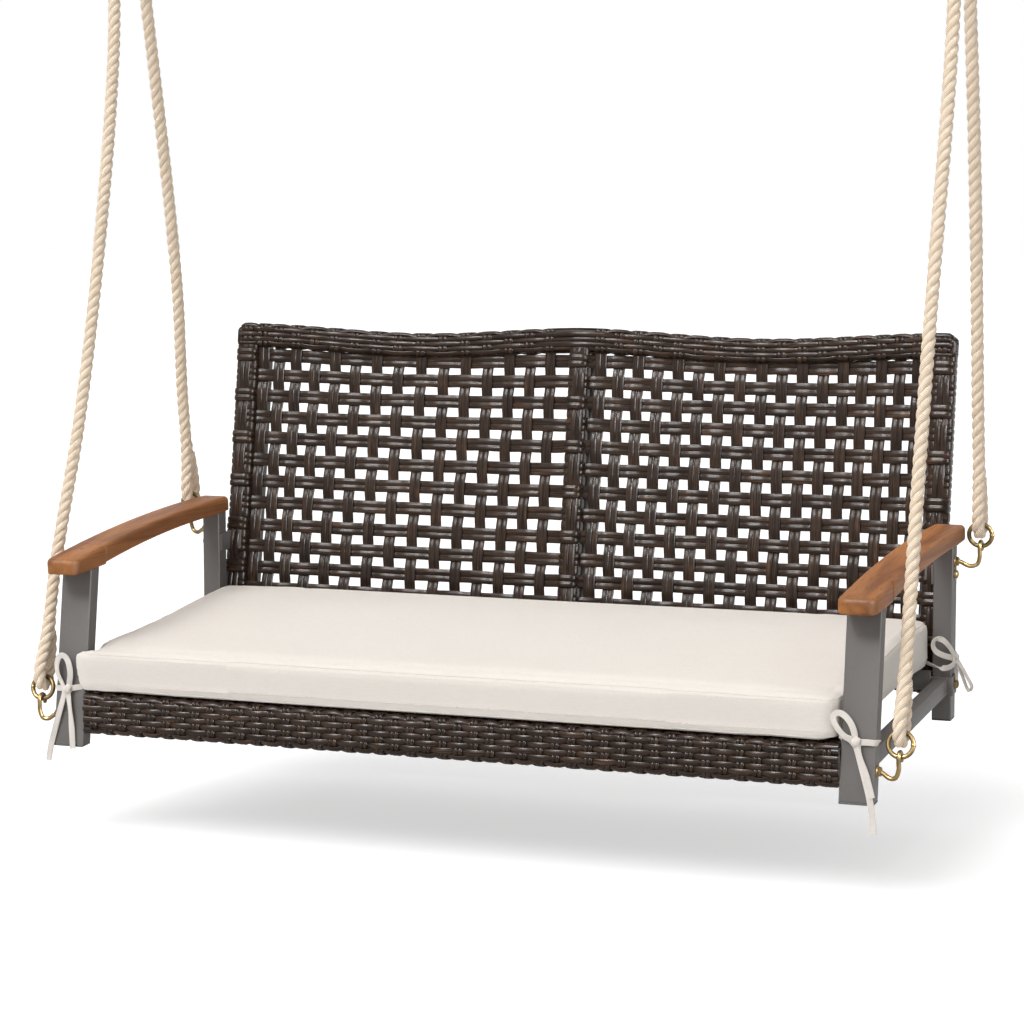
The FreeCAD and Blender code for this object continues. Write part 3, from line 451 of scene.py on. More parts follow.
class Bundle:
    """Collects swept strands and lofts, in millimetres of a frame, into one mesh."""

    # Each strand draws its own number up to this one, for its shade.
    own_numbers = 40.0
    # A strand's wobble is a long wave and a weaker short one, in millimetres.
    long_wave, short_wave, short_share = 34.0, 14.0, 0.6

    def __init__(self, place, seed=1, wobble=0.0):
        self.place = np.array(place)
        self.random = np.random.default_rng(seed)
        self.wobble = wobble
        self.points, self.faces, self.lay = [], [], []
        self.count = 0

    def skin(self, rings, loop=False):
        """Quads between rings of points, closed at the ends unless it is a loop."""
        rows, sides = rings.shape[:2]
        lay = np.empty((rows, sides, 3))
        lay[:, :, 0] = distances(rings.mean(1))[:, None] * MM
        lay[:, :, 1] = distances(rings[rows // 2])[None, :] * MM
        lay[:, :, 2] = self.random.uniform(0.0, self.own_numbers)
        index = self.count + np.arange(rows * sides).reshape(rows, sides)
        first = index if loop else index[:-1]
        second = np.roll(index, -1, 0) if loop else index[1:]
        quads = np.stack(
            [first, second, np.roll(second, -1, 1), np.roll(first, -1, 1)], -1).reshape(-1, 4)
        self.faces.extend(quads.tolist())
        if not loop:
            self.faces.append(index[0].tolist())
            self.faces.append(index[-1][::-1].tolist())
        self.points.append(rings.reshape(-1, 3))
        self.lay.append(lay.reshape(-1, 3))
        self.count += rows * sides

    def sweep(self, line, up, section, loop=False, swell=None, phase=None):
        """A section carried along a line with its top side towards up."""
        line = np.asarray(line, float)
        up = np.broadcast_to(np.asarray(up, float), line.shape)
        step = np.roll(line, -1, 0) - np.roll(line, 1, 0)
        if not loop:
            step[0], step[-1] = line[1] - line[0], line[-1] - line[-2]
        along = unit(step)
        across = unit(np.cross(along, up))
        rise = np.cross(across, along)
        if self.wobble and not loop:
            way = distances(line)
            phase = self.random.uniform(0.0, FULL_TURN, 2) if phase is None else phase
            sway = np.sin(way / self.long_wave + phase[0])
            sway = sway + self.short_share * np.sin(way / self.short_wave + phase[1])
            line = line + across * (sway * self.wobble)[:, None]
        form = np.broadcast_to(section, (len(line), *section.shape))
        if swell is not None:
            form = form * np.asarray(swell, float).reshape(len(line), 1, -1)
        self.skin(
            line[:, None] + across[:, None] * form[..., 0:1] + rise[:, None] * form[..., 1:2], loop)

    def turned(self, base, axis, profile, sides):
        """A turned form: (height, radius) steps along an axis from a base point."""
        axis = unit(np.asarray(axis, float))
        side = UP if abs(axis[2]) < 0.9 else np.array((0.0, 1.0, 0.0))
        profile = np.asarray(profile, float)
        line = np.asarray(base, float) + axis * profile[:, 0:1]
        across = unit(np.cross(axis, side))
        rise = np.cross(across, axis)
        circle = disc(2.0, sides)
        flat = across * circle[:, 0:1] + rise * circle[:, 1:2]
        self.skin(line[:, None] + flat[None] * profile[:, 1][:, None, None])

    def piece(self, name, slot, body, *nodes, sharp=50.0, look=None):
        points = np.concatenate(self.points) * MM
        points = points @ self.place[:3, :3].T + self.place[:3, 3]
        mesh = bpy.data.meshes.new(name)
        mesh.from_pydata(points.tolist(), [], self.faces)
        attribute = mesh.attributes.new("lay", "FLOAT_VECTOR", "POINT")
        attribute.data.foreach_set("vector", np.concatenate(self.lay).astype(np.float32).ravel())
        shade_smooth(mesh)
        mesh.set_sharp_from_angle(angle=math.radians(sharp))
        mesh.update()
        return new_piece(name, mesh, slot, body, nodes, look)


class Outline:
    """A closed rounded rectangle that strands run round, measured along its edge."""

    def __init__(self, low, high, radius, steps=5):
        points, normals = [], []
        middles = (
            (high[0] - radius, low[1] + radius, -90), (high[0] - radius, high[1] - radius, 0),
            (low[0] + radius, high[1] - radius, 90), (low[0] + radius, low[1] + radius, 180))
        for across, up, start in middles:
            for step in range(steps + 1):
                turn = math.radians(start + 90 * step / steps)
                points.append((across + radius * math.cos(turn), up + radius * math.sin(turn)))
                normals.append((math.cos(turn), math.sin(turn)))
        self.points = np.array(points + points[:1])
        self.normals = np.array(normals + normals[:1])
        self.marks = distances(self.points)
        self.length = self.marks[-1]
        self.edge_right = high[0] - radius

    def at(self, way):
        way = np.mod(way, self.length)
        point = np.stack([np.interp(way, self.marks, self.points[:, k]) for k in (0, 1)], -1)
        normal = np.stack([np.interp(way, self.marks, self.normals[:, k]) for k in (0, 1)], -1)
        return point, unit(normal)

    def low_edge(self, across):
        """The place on the low edge at this distance across."""
        return self.length - (self.edge_right - across)


# Of the way from one crossing to the next, this part at each end is level.
LEVEL_SHARE = 0.35 / 1.7


def over_under(at, crossings, parity, rise, loop=None):
    """A strand's height as it goes over and under the strands that it crosses."""
    crossings = np.asarray(crossings, float)
    signs = np.where((np.arange(len(crossings)) + parity) % 2 == 0, 1.0, -1.0)
    if loop:
        crossings = np.concatenate([[crossings[-1] - loop], crossings, [crossings[0] + loop]])
        signs = np.concatenate([[signs[-1]], signs, [signs[0]]])
    after = np.clip(np.searchsorted(crossings, at), 1, len(crossings) - 1)
    share = (at - crossings[after - 1]) / (crossings[after] - crossings[after - 1])
    share = ramp(share, LEVEL_SHARE, 1.0 - LEVEL_SHARE)
    return rise * (signs[after - 1] + (signs[after] - signs[after - 1]) * share)


class Bar:
    """A bar that wicker covers: its outline, and how places along and on it lie in the frame."""

    ring_step, run_step = 2.3, 6.0
    core_inset, core_sides, core_rings = 1.4, 20, 60

    def __init__(self, bundle, outline, bend):
        self.bundle, self.outline, self.bend = bundle, outline, bend

    def strand(self, at, way, lift, section, loop=False):
        """A strand through places along the bar and round its outline, lifted off it."""
        point, normal = self.outline.at(way)
        spot = point + normal * lift[:, None]
        tip = spot + normal
        line = self.bend(at, spot[:, 0], spot[:, 1])
        self.bundle.sweep(line, self.bend(at, tip[:, 0], tip[:, 1]) - line, section, loop=loop)

    def rings(self, places, section, lift):
        """Strands that go once round the bar, one at each place along it."""
        count = int(self.outline.length / self.ring_step)
        way = np.arange(count) * self.outline.length / count
        for k, place in enumerate(places):
            self.strand(np.full(count, place), way, lift(k, way), section, loop=True)

    def runs(self, rounds, ends, section, lift):
        """Strands that run along the bar, one at each place round its outline."""
        at = np.linspace(*ends, max(2, int(abs(ends[1] - ends[0]) / self.run_step)))
        for k, way in enumerate(rounds):
            self.strand(at, np.full(len(at), way), lift(k, at), section)

    def basket(self, places, ends, row_pitch, ring, row, rise, pair):
        """Plain weave: rows along the bar, and pairs of strands round it."""
        length = self.outline.length
        rows = 2 * round(length / row_pitch / 2)
        rounds = (np.arange(rows) + 0.5) * length / rows
        for side in (-pair, pair):
            self.rings(
                places + side, ring, lambda k, way: over_under(way, rounds, k, rise, length))
        self.runs(rounds, ends, row, lambda k, at: over_under(at, places, k + 1, rise))

    def core(self, ends):
        """A dark filling under the strands, so that no light comes through."""
        sides = self.core_sides
        point, normal = self.outline.at(np.arange(sides) * self.outline.length / sides)
        inner = point - normal * self.core_inset
        rings = np.stack([
            self.bend(np.full(sides, at), inner[:, 0], inner[:, 1])
            for at in np.linspace(*ends, self.core_rings)])
        area = np.cross(rings[0, 1] - rings[0, 0], rings[0, 5] - rings[0, 0])
        if area.dot(rings[1].mean(0) - rings[0].mean(0)) > 0:
            rings = rings[:, ::-1]
        self.bundle.skin(rings)


def dressed(node, slot, edge):
    """A copy of a node's form with its edges rounded, in place of the node."""
    name = node + "_form"
    mesh = frame["nodes"][node].data.copy()
    mesh.name = name
    form = bmesh.new()
    form.from_mesh(mesh)
    bmesh.ops.remove_doubles(form, verts=form.verts, dist=1e-5)
    bmesh.ops.dissolve_limit(
        form, angle_limit=math.radians(1.0), verts=form.verts, edges=form.edges)
    form.to_mesh(mesh)
    form.free()
    shade_smooth(mesh)
    piece = new_piece(name, mesh, slot, frame["nodes"][node]["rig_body"], (node,))
    bevel = piece.modifiers.new("rounded_edges", "BEVEL")
    bevel.width = edge
    bevel.segments = 3
    bevel.limit_method = "ANGLE"
    bevel.angle_limit = math.radians(28)
    bevel.use_clamp_overlap = True
    bevel.harden_normals = True


def capped_bar(bundle, low, high, radius, ends, cap, cap_share, sign=1):
    """A rounded bar that draws in to a share of its size over the cap at each end."""
    outline = Outline(low, high, radius)
    middle = (np.array(low) + np.array(high)) / 2
    foot, top = ends
    rings = []
    for height, share in (
            (foot, cap_share), (foot + cap, 1.0), (top - cap, 1.0), (top, cap_share)):
        ring = middle + (outline.points[:-1] - middle) * share
        rings.append(np.column_stack([ring * (sign, 1.0), np.full(len(ring), height)]))
    rings = np.array(rings)
    bundle.skin(rings if sign < 0 else rings[:, ::-1])


def route_line(points, spacing):
    """Even points read from the smooth spline of a route, in metres, and its length."""
    curve = bpy.data.curves.new("route", "CURVE")
    curve.dimensions = "3D"
    spline = curve.splines.new("NURBS")
    spline.points.add(len(points) - 1)
    for target, point in zip(spline.points, points):
        target.co = (*point, 1.0)
    spline.order_u = 3
    spline.use_endpoint_u = True
    spline.resolution_u = 16
    holder = bpy.data.objects.new("route", curve)
    mesh = bpy.data.meshes.new_from_object(holder)
    line = np.array([vertex.co[:] for vertex in mesh.vertices])
    bpy.data.objects.remove(holder)
    bpy.data.curves.remove(curve)
    bpy.data.meshes.remove(mesh)
    marks = distances(line)
    even = np.linspace(0.0, marks[-1], max(2, round(marks[-1] / spacing)))
    return np.stack([np.interp(even, marks, line[:, k]) for k in range(3)], 1), marks[-1]


def carried_frame(line, start):
    """Two cross directions carried along a line without twist."""
    along = unit(np.gradient(line, axis=0))
    side = np.empty_like(line)
    current = np.asarray(start, float)
    for k, way in enumerate(along):
        current = current - way * current.dot(way)
        current = current / np.linalg.norm(current)
        side[k] = current
    return side, np.cross(along, side)


# Stage

class SWINGSEAT_OT_stage(bpy.types.Operator):
    """Camera at the photograph's angle, soft studio light and a pale floor"""
    bl_idname = "swingseat.stage"
    bl_label = "Stage"

    sensor_width = 36.0
    white = (1.0, 1.0, 1.0)
    floor_tones = (0.60, 0.60, 0.60), (0.64, 0.64, 0.64)
    floor_glow, floor_reach = 0.55, 60.0

    def execute(self, context):
        stage = context.scene.swing_seat_stage
        context.scene.view_settings.view_transform = "Standard"
        camera = bpy.data.objects.new("camera", bpy.data.cameras.new("camera"))
        camera.data.sensor_width = self.sensor_width
        camera.data.lens = stage.camera_lens
        camera.location = stage.camera_place
        look = Vector(stage.camera_target) - Vector(stage.camera_place)
        camera.rotation_euler = look.to_track_quat("-Z", "Y").to_euler()
        context.scene.collection.objects.link(camera)
        context.scene.camera = camera
        # Each light's width and turn are in degrees.
        for name, strength, width, turn in (
                ("key_light", stage.sun_strength, 44.0, (34.0, 0.0, -28.0)),
                ("fill_light", stage.fill_strength, 80.0, (72.0, 0.0, -8.0)),
                ("back_light", stage.back_strength, 90.0, (55.0, 0.0, 205.0)),
                ("glint_high", stage.glint_strength, 16.0, (46.0, 0.0, -20.0)),
                ("glint_right", stage.glint_strength, 16.0, (74.0, 0.0, 68.0))):
            lamp = bpy.data.lights.new(name, "SUN")
            lamp.energy = strength
            lamp.angle = math.radians(width)
            light = bpy.data.objects.new(name, lamp)
            light.rotation_euler = [math.radians(v) for v in turn]
            light.visible_diffuse = not name.startswith("glint")
            context.scene.collection.objects.link(light)
        self.white_world(context, stage.sky_strength)
        self.pale_floor(context, stage.floor_height)
        return {"FINISHED"}

    def white_world(self, context, strength):
        world = bpy.data.worlds.new("white_studio")
        f = Finish("white_studio", world)
        sky, backdrop = (
            f.node("ShaderNodeBackground", {}, {"Color": self.white, "Strength": level})
            for level in (strength, 1.0))
        both = f.node("ShaderNodeMixShader", {}, {0: f.seen(), 1: sky, 2: backdrop})
        f.node("ShaderNodeOutputWorld", {}, {"Surface": both})
        context.scene.world = world

    def pale_floor(self, context, height):
        f = Finish("pale_floor")
        tone = f.tint(f.noise(f.place(), scale=3.0, detail=2.0), *self.floor_tones)
        matt = f.node("ShaderNodeBsdfDiffuse", {}, {"Color": tone})
        dark, glow = (
            f.node("ShaderNodeEmission", {}, {"Strength": level}) for level in (0.0, self.floor_glow))
        lift = f.node("ShaderNodeMixShader", {}, {0: f.seen(), 1: dark, 2: glow})
        both = f.node("ShaderNodeAddShader", {}, {0: matt, 1: lift})
        f.node("ShaderNodeOutputMaterial", {}, {"Surface": both})
        mesh = bpy.data.meshes.new("floor")
        corners = ((-1, -1), (1, -1), (1, 1), (-1, 1))
        mesh.from_pydata(
            [(x * self.floor_reach, y * self.floor_reach, height) for x, y in corners], [],
            [(0, 1, 2, 3)])
        mesh.materials.append(f.material)
        floor = bpy.data.objects.new("floor", mesh)
        context.scene.collection.objects.link(floor)


# Ropes and ties

class SWINGSEAT_OT_ropes(bpy.types.Operator):
    """Four ropes of three laid strands, with a spliced eye at each end"""
    bl_idname = "swingseat.ropes"
    bl_label = "Ropes"

    # How far the ropes hang from the middle, and the low rings' size across their wire.
    hang_x, ring_across = 0.671, 0.0352
    # Each rope's low ring pin, its place on the top ring, and its length along the middle.
    runs = {
        "front": ((-0.3027917, -1.3882392), (-0.014, -0.0746089), 1.541),
        "rear": ((0.2037917, -1.1514637), (0.014, -0.0746089), 1.290),
    }
    # How the ropes bow off a straight run in the photograph: share of the run, and metres in X.
    bows = {
        "left_front": ((0.34, 0.026), (0.72, 0.026)),
        "left_rear": ((0.36, 0.014),),
        "right_front": ((0.42, 0.002), (0.76, 0.0115)),
        "right_rear": ((0.50, 0.004),),
    }
    # An eye closes at its throat, turns round the wire, and its end is tucked in beside.
    throat, turn_top, turn_low, turn_width, tuck = 0.070, 0.0152, 0.0138, 1.6, 0.006
    # Diameters of rope that stay straight past the low wire and below the top one.
    straight_low, straight_top = 9, 9 * 0.8
    # A strand's distance from the middle, width and thickness, as shares of the rope's radius.
    strand_shares, splice_shares = (0.52, 1.03, 0.95), (0.52, 0.95, 0.80)
    # A splice starts in the throat and tapers out above it, in millimetres; it stands out at first.
    splice_start, splice_end, splice_out, splice_least = -14.0, 92.0, 0.20, 0.35
    seeds = {"front": 11, "rear": 12}

    def execute(self, context):
        for side, sign in SIDES.items():
            for way, (low, high, length) in self.runs.items():
                self.rope(side, sign * self.hang_x, way, low, high, length)
        return {"FINISHED"}

    def rope(self, side, x, way, low, high, length):
        pin, wire_top = np.array((x, *low)), np.array((x, *high))
        along = unit(wire_top - pin)
        wire_low = pin + along * self.ring_across
        across = np.array((1.0, 0.0, 0.0))
        facing = np.cross(across, along)
        diameter = sizes().rope_diameter
        run = wire_top - wire_low
        top_turn, low_turn = along * self.turn_top, along * self.turn_low
        top_side = across * self.turn_top * self.turn_width
        low_side = facing * self.turn_low * self.turn_width
        bows = self.bows[f"{side}_{way}"]
        points = [
            wire_top - along * self.throat + across * self.tuck,
            wire_top + top_turn + top_side,
            wire_top + top_turn - top_side,
            wire_top - along * self.throat,
            wire_top - along * self.straight_top * diameter,
            *(wire_low + run * share + across * bow for share, bow in bows[::-1]),
            wire_low + along * self.straight_low * diameter,
            wire_low + along * self.throat,
            wire_low - low_turn + low_side,
            wire_low - low_turn - low_side,
            wire_low + along * self.throat - facing * self.tuck,
        ]
        line, _ = route_line(points, CORD_STEP)
        bundle = Bundle(WHOLE, self.seeds[way])
        self.lay_strands(bundle, line * TO_MM, across)
        self.splice(bundle, wire_top * TO_MM, -along, across)
        self.splice(bundle, wire_low * TO_MM, along, across)
        piece = bundle.piece(
            f"{side}_{way}_laid_rope", "rope", f"{side}_ropes", f"{side}_{way}_rope", sharp=80)
        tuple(points[0])

    def strand_ways(self, spine, marks, start):
        """Where each of the three strands lies from the middle, as it turns along the rope."""
        side, other = carried_frame(spine, start)
        for strand in range(3):
            turn = marks * MM / sizes().rope_lay * FULL_TURN + strand * FULL_TURN / 3
            yield side * np.cos(turn)[:, None] + other * np.sin(turn)[:, None]

    def lay_strands(self, bundle, line, start):
        radius = sizes().rope_diameter * TO_MM / 2
        away, width, thickness = (radius * share for share in self.strand_shares)
        for out in self.strand_ways(line, distances(line), start):
            bundle.sweep(line + out * away, out, oval(width, thickness, sides=10, square=1.0))

    def splice(self, bundle, wire, away, start):
        """Three tucked strands that swell the rope above an eye and taper out."""
        radius, throat = sizes().rope_diameter * TO_MM / 2, self.throat * TO_MM
        near, width, thickness = (radius * share for share in self.splice_shares)
        way = np.linspace(throat + self.splice_start, throat + self.splice_end, 40)
        spine = wire + away * way[:, None]
        taper = 1.0 - ramp(way, way[0], way[-1])
        reach = (near + radius * self.splice_out * taper)[:, None]
        swell = self.splice_least + (1.0 - self.splice_least) * taper
        for out in self.strand_ways(spine, way, start):
            bundle.sweep(spine + out * reach, out, oval(width, thickness, square=1.0), swell=swell)


class SWINGSEAT_OT_ties(bpy.types.Operator):
    """Cloth ties knotted round the legs, each with a loop and two tails"""
    bl_idname = "swingseat.ties"
    bl_label = "Cushion ties"

    front_knots = {"left": (-617, 11.5, 86), "right": (613, 11.5, 86)}
    rear_knot = (640.5, 510, 97)
    # The front leg's face: how far back it goes for each millimetre of height, and at the floor.
    leg_slope, leg_foot = 0.21, 1.4
    thickness, curl = 1.7, 0.35
    # A strap's seams: share of its width from the middle, and height over the middle.
    seam_share, seam_height = 0.36, 0.75
    # A knot's turns: lean, reach and depth of each; and the half length of its core.
    knot_turns, knot_core = ((0.5, 7.0, 4.0), (-0.7, 6.2, 4.8)), 5.0

    def execute(self, context):
        for side, sign in SIDES.items():
            for name, points, facing in self.straps(side, sign):
                self.strap(name, points, facing)
            x, y, z = self.rear_knot
            self.knot(f"{side}_front_knot", self.front_knots[side], (0.0, -1.0, 0.0))
            self.knot(f"{side}_rear_knot", (sign * x, y, z), (float(sign), 0.0, 0.0))
        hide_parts("front_ties")
        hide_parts("rear_ties")
        return {"FINISHED"}

    def straps(self, side, sign):
        """Routes in the seat's frame: across, then in front of the leg's face or back, and up."""
        if sign > 0:
            looped = [
                (587, -4, 92), (600, 1, 90), (613, 3, 86), (607, 8, 112), (589, 9, 128),
                (577, 9, 118), (592, 7, 96), (612, 6, 85), (619, 4, 62), (633, 3, 20),
                (640, 1, -14), (642, 0, -38)]
            single = [
                (642, -9, 84), (641, 1, 85), (628, 2, 86), (614, 5, 86), (618, 5, 68),
                (630, 4, 42), (638, 3, 12)]
        else:
            looped = [
                (-587, -4, 92), (-602, 1, 89), (-617, 3, 87), (-611, 8, 112), (-619, 9, 136),
                (-634, 9, 138), (-638, 7, 112), (-620, 6, 87), (-627, 4, 62), (-638, 3, 20),
                (-644, 1, -4), (-646, 0, -22)]
            single = [
                (-642, -9, 85), (-641, 1, 86), (-629, 2, 87), (-617, 5, 87), (-613, 5, 66),
                (-607, 4, 32), (-604, 3, -2)]
        for name, route in (("loop", looped), ("tail", single)):
            points = [(x, self.leg_slope * z - self.leg_foot - out, z) for x, out, z in route]
            yield f"{side}_front_{name}", points, (0.0, -1.0, 0.0)
        looped = [
            (592, 507, 89), (610, 495, 86), (628, 489, 83), (641, 495, 88), (641, 508, 98),
            (635, 494, 118), (624, 488, 131), (611, 487, 128), (611, 488, 112), (626, 491, 103),
            (641, 506, 97), (649, 508, 86), (661, 506, 66), (669, 505, 52), (661, 505, 46),
            (654, 507, 64), (645, 509, 86)]
        single = [
            (632, 534, 99), (638, 532, 98), (639, 521, 98), (641, 511, 97), (642, 513, 82),
            (641, 516, 50)]
        for name, route in (("loop", looped), ("tail", single)):
            points = [(sign * x, y, z) for x, y, z in route]
            yield f"{side}_rear_{name}", points, (float(sign), -0.35, 0.0)

    def strap(self, name, points, facing):
        placed = [SEAT @ Vector([v * MM for v in point]) for point in points]
        line, length = route_line(placed, CORD_STEP)
        middle = line * TO_MM
        bundle = Bundle(WHOLE, len(name))
        width = sizes().strap_width * TO_MM
        lean = np.sin(np.linspace(0.0, 3 * math.pi, len(line)))[:, None] * self.curl
        up = np.array(SEAT)[:3, :3] @ np.array(facing) + lean * np.array((1.0, 0.0, 0.3))
        bundle.sweep(middle, up, oval(width, self.thickness, sides=10, square=0.55))
        side = unit(np.cross(np.gradient(line, axis=0), up))
        for edge in (-1, 1):
            seam = middle + side * edge * width * self.seam_share + unit(up) * self.seam_height
            bundle.sweep(seam, up, oval(0.9, 0.7, sides=6, square=1.0))
        piece = bundle.piece(f"{name}_strap", "cushion_cloth", "seat", look="strap_cloth", sharp=60)
        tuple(placed[0])

    def knot(self, name, centre, facing):
        """Two turns of strap pulled tight over the crossing."""
        bundle = Bundle(SEAT, seed=5)
        centre, facing = np.asarray(centre), np.asarray(facing)
        side = np.cross(facing, UP)
        turn = np.arange(18)[:, None] * FULL_TURN / 18
        for lean, reach, depth in self.knot_turns:
            way = unit(side * math.cos(lean) + UP * math.sin(lean))
            out = np.cross(way, facing) * np.cos(turn) * reach + facing * np.sin(turn) * depth
            bundle.sweep(centre + out, out, oval(8.6, 2.0, square=0.7), loop=True)
        core = np.linspace(-self.knot_core, self.knot_core, 7)
        bundle.sweep(
            centre + side * core[:, None], facing, oval(11.0, 7.0, sides=10, square=1.0),
            swell=np.sqrt(1.05 - (core / self.knot_core) ** 2))
        bundle.piece(name, "cushion_cloth", "seat", look="strap_cloth", sharp=70)


# Wicker

# The back, in millimetres across from the centre: each bay's middle and half width.
BAY_MIDDLE, BAY_HALF = 294.5, 281.5
# How far back the weave lies at a bay's edge, and how much farther in its middle.
BAY_EDGE_DEPTH, BAY_HOLLOW = 15.0, 30.0
# The top edge sinks between the centre column and a side border.
SAG_START, SAG_SPAN, TOP_SAG = 13.0, 563.0, 9.5
# Half the distance between the strands of a pair.
ROW_PAIR, STAKE_PAIR = 5.2, 4.6
# The lowest row is wound on the posts alone; the side posts' middles lie this far out.
LOW_ROW, SIDE_POST = -126.0, 594.0


def bay_hollow(u):
    """How far back the weave hollows between the borders."""
    return BAY_EDGE_DEPTH + BAY_HOLLOW * np.clip(1.0 - ((u - BAY_MIDDLE) / BAY_HALF) ** 2, 0.0, 1.0)


def sag_share(u):
    """How far the top edge has sunk between a border and the centre column."""
    return np.sin(np.clip((u - SAG_START) / SAG_SPAN, 0.0, 1.0) * math.pi) ** 2


def spread_places(first, last, count, fullest, ease):
    """Places of strands that lie farthest apart at one place, and closer away from it."""
    gap_middles = np.linspace(first, last, 2 * count - 1)[1::2]
    gaps = 1.0 - ease * ((gap_middles - fullest) / 280.0) ** 2
    return first + (last - first) * np.concatenate([[0.0], np.cumsum(gaps) / gaps.sum()])


ROW_COUNT = 14
ROW_HEIGHTS = spread_places(365.0, -92.0, ROW_COUNT, fullest=150.0, ease=0.18)
# The two highest rows follow the top edge a little.
ROW_SAGS = np.array((3.0, 1.5, *[0.0] * (ROW_COUNT - 2)))
# Upright pairs in the left and the right bay, measured from the centre.
STAKE_PLACES = {
    -1: spread_places(55.6, 569.0, 15, fullest=230.0, ease=0.26),
    1: spread_places(32.0, 553.0, 17, fullest=280.0, ease=0.18),
}


class SWINGSEAT_OT_back_bays(bpy.types.Operator):
    """Open basket weave in the back's two bays, pairs over and under pairs"""
    bl_idname = "swingseat.back_bays"
    bl_label = "Back weave"

    # A strand's rise over a crossing, and how far hand work puts a strand or a pair out of line.
    rise, strand_slip, pair_slip = 1.9, 0.3, 0.7
    wobble, pair_phase = 0.35, 0.04
    # A row's and a stake's width, as shares of a strand's.
    width_shares = (1.13, 1.02)
    row_ends, stake_foot, stake_top = (3.0, 590.0), -126.0, 396.0

    def execute(self, context):
        weavers, stakes = (Bundle(BACK, seed=seed, wobble=self.wobble) for seed in (21, 22))
        width, thickness = sizes().strand_width * TO_MM, sizes().strand_thickness * TO_MM
        row, stake = (
            oval(width * share, thickness, sides=10, square=0.85) for share in self.width_shares)
        for sign in SIDES.values():
            self.rows(weavers, sign, row)
            self.uprights(stakes, sign, stake)
        weavers.piece("back_weaver_strands", "wicker", "seat", "back_weavers")
        stakes.piece("back_stake_strands", "wicker", "seat", "back_stakes")
        return {"FINISHED"}

    def pair_draws(self, bundle):
        """The wave and the slip that a pair's two strands share."""
        phase = bundle.random.uniform(0.0, FULL_TURN, 2)
        return phase, bundle.random.uniform(-self.pair_slip, self.pair_slip)

    def lift(self, bundle, at, crossings, parity):
        slip = bundle.random.uniform(-self.strand_slip, self.strand_slip)
        return over_under(at, crossings, parity, self.rise) + slip

    def rows(self, bundle, sign, section):
        u = np.linspace(*self.row_ends, 150)
        crossings = [0.0, *STAKE_PLACES[sign], SIDE_POST]
        slope = np.gradient(bay_hollow(u), u)
        up = np.stack([sign * slope, -np.ones_like(u), np.zeros_like(u)], 1)
        for row in range(ROW_COUNT):
            phase, slip = self.pair_draws(bundle)
            middle = ROW_HEIGHTS[row] - ROW_SAGS[row] * sag_share(u) + slip
            for pair in (-ROW_PAIR, ROW_PAIR):
                lift = self.lift(bundle, u, crossings, row)
                line = np.stack([sign * u, bay_hollow(u) - lift, middle + pair], 1)
                bundle.sweep(line, up, section, phase=phase + pair * self.pair_phase)

    def uprights(self, bundle, sign, section):
        for k, place in enumerate(STAKE_PLACES[sign]):
            crossings = (ROW_HEIGHTS - ROW_SAGS * sag_share(place))[::-1]
            w = np.linspace(self.stake_foot, self.stake_top - TOP_SAG * sag_share(place), 130)
            slope = -2.0 * BAY_HOLLOW * (place - BAY_MIDDLE) / BAY_HALF ** 2
            phase, slip = self.pair_draws(bundle)
            for pair in (-STAKE_PAIR, STAKE_PAIR):
                lift = self.lift(bundle, w, crossings, k + 1)
                u = np.full_like(w, place + pair + slip)
                line = np.stack([sign * u, bay_hollow(u) - lift, w], 1)
                up = (sign * slope, -1.0, 0.0)
                bundle.sweep(line, up, section, phase=phase + pair * self.pair_phase)


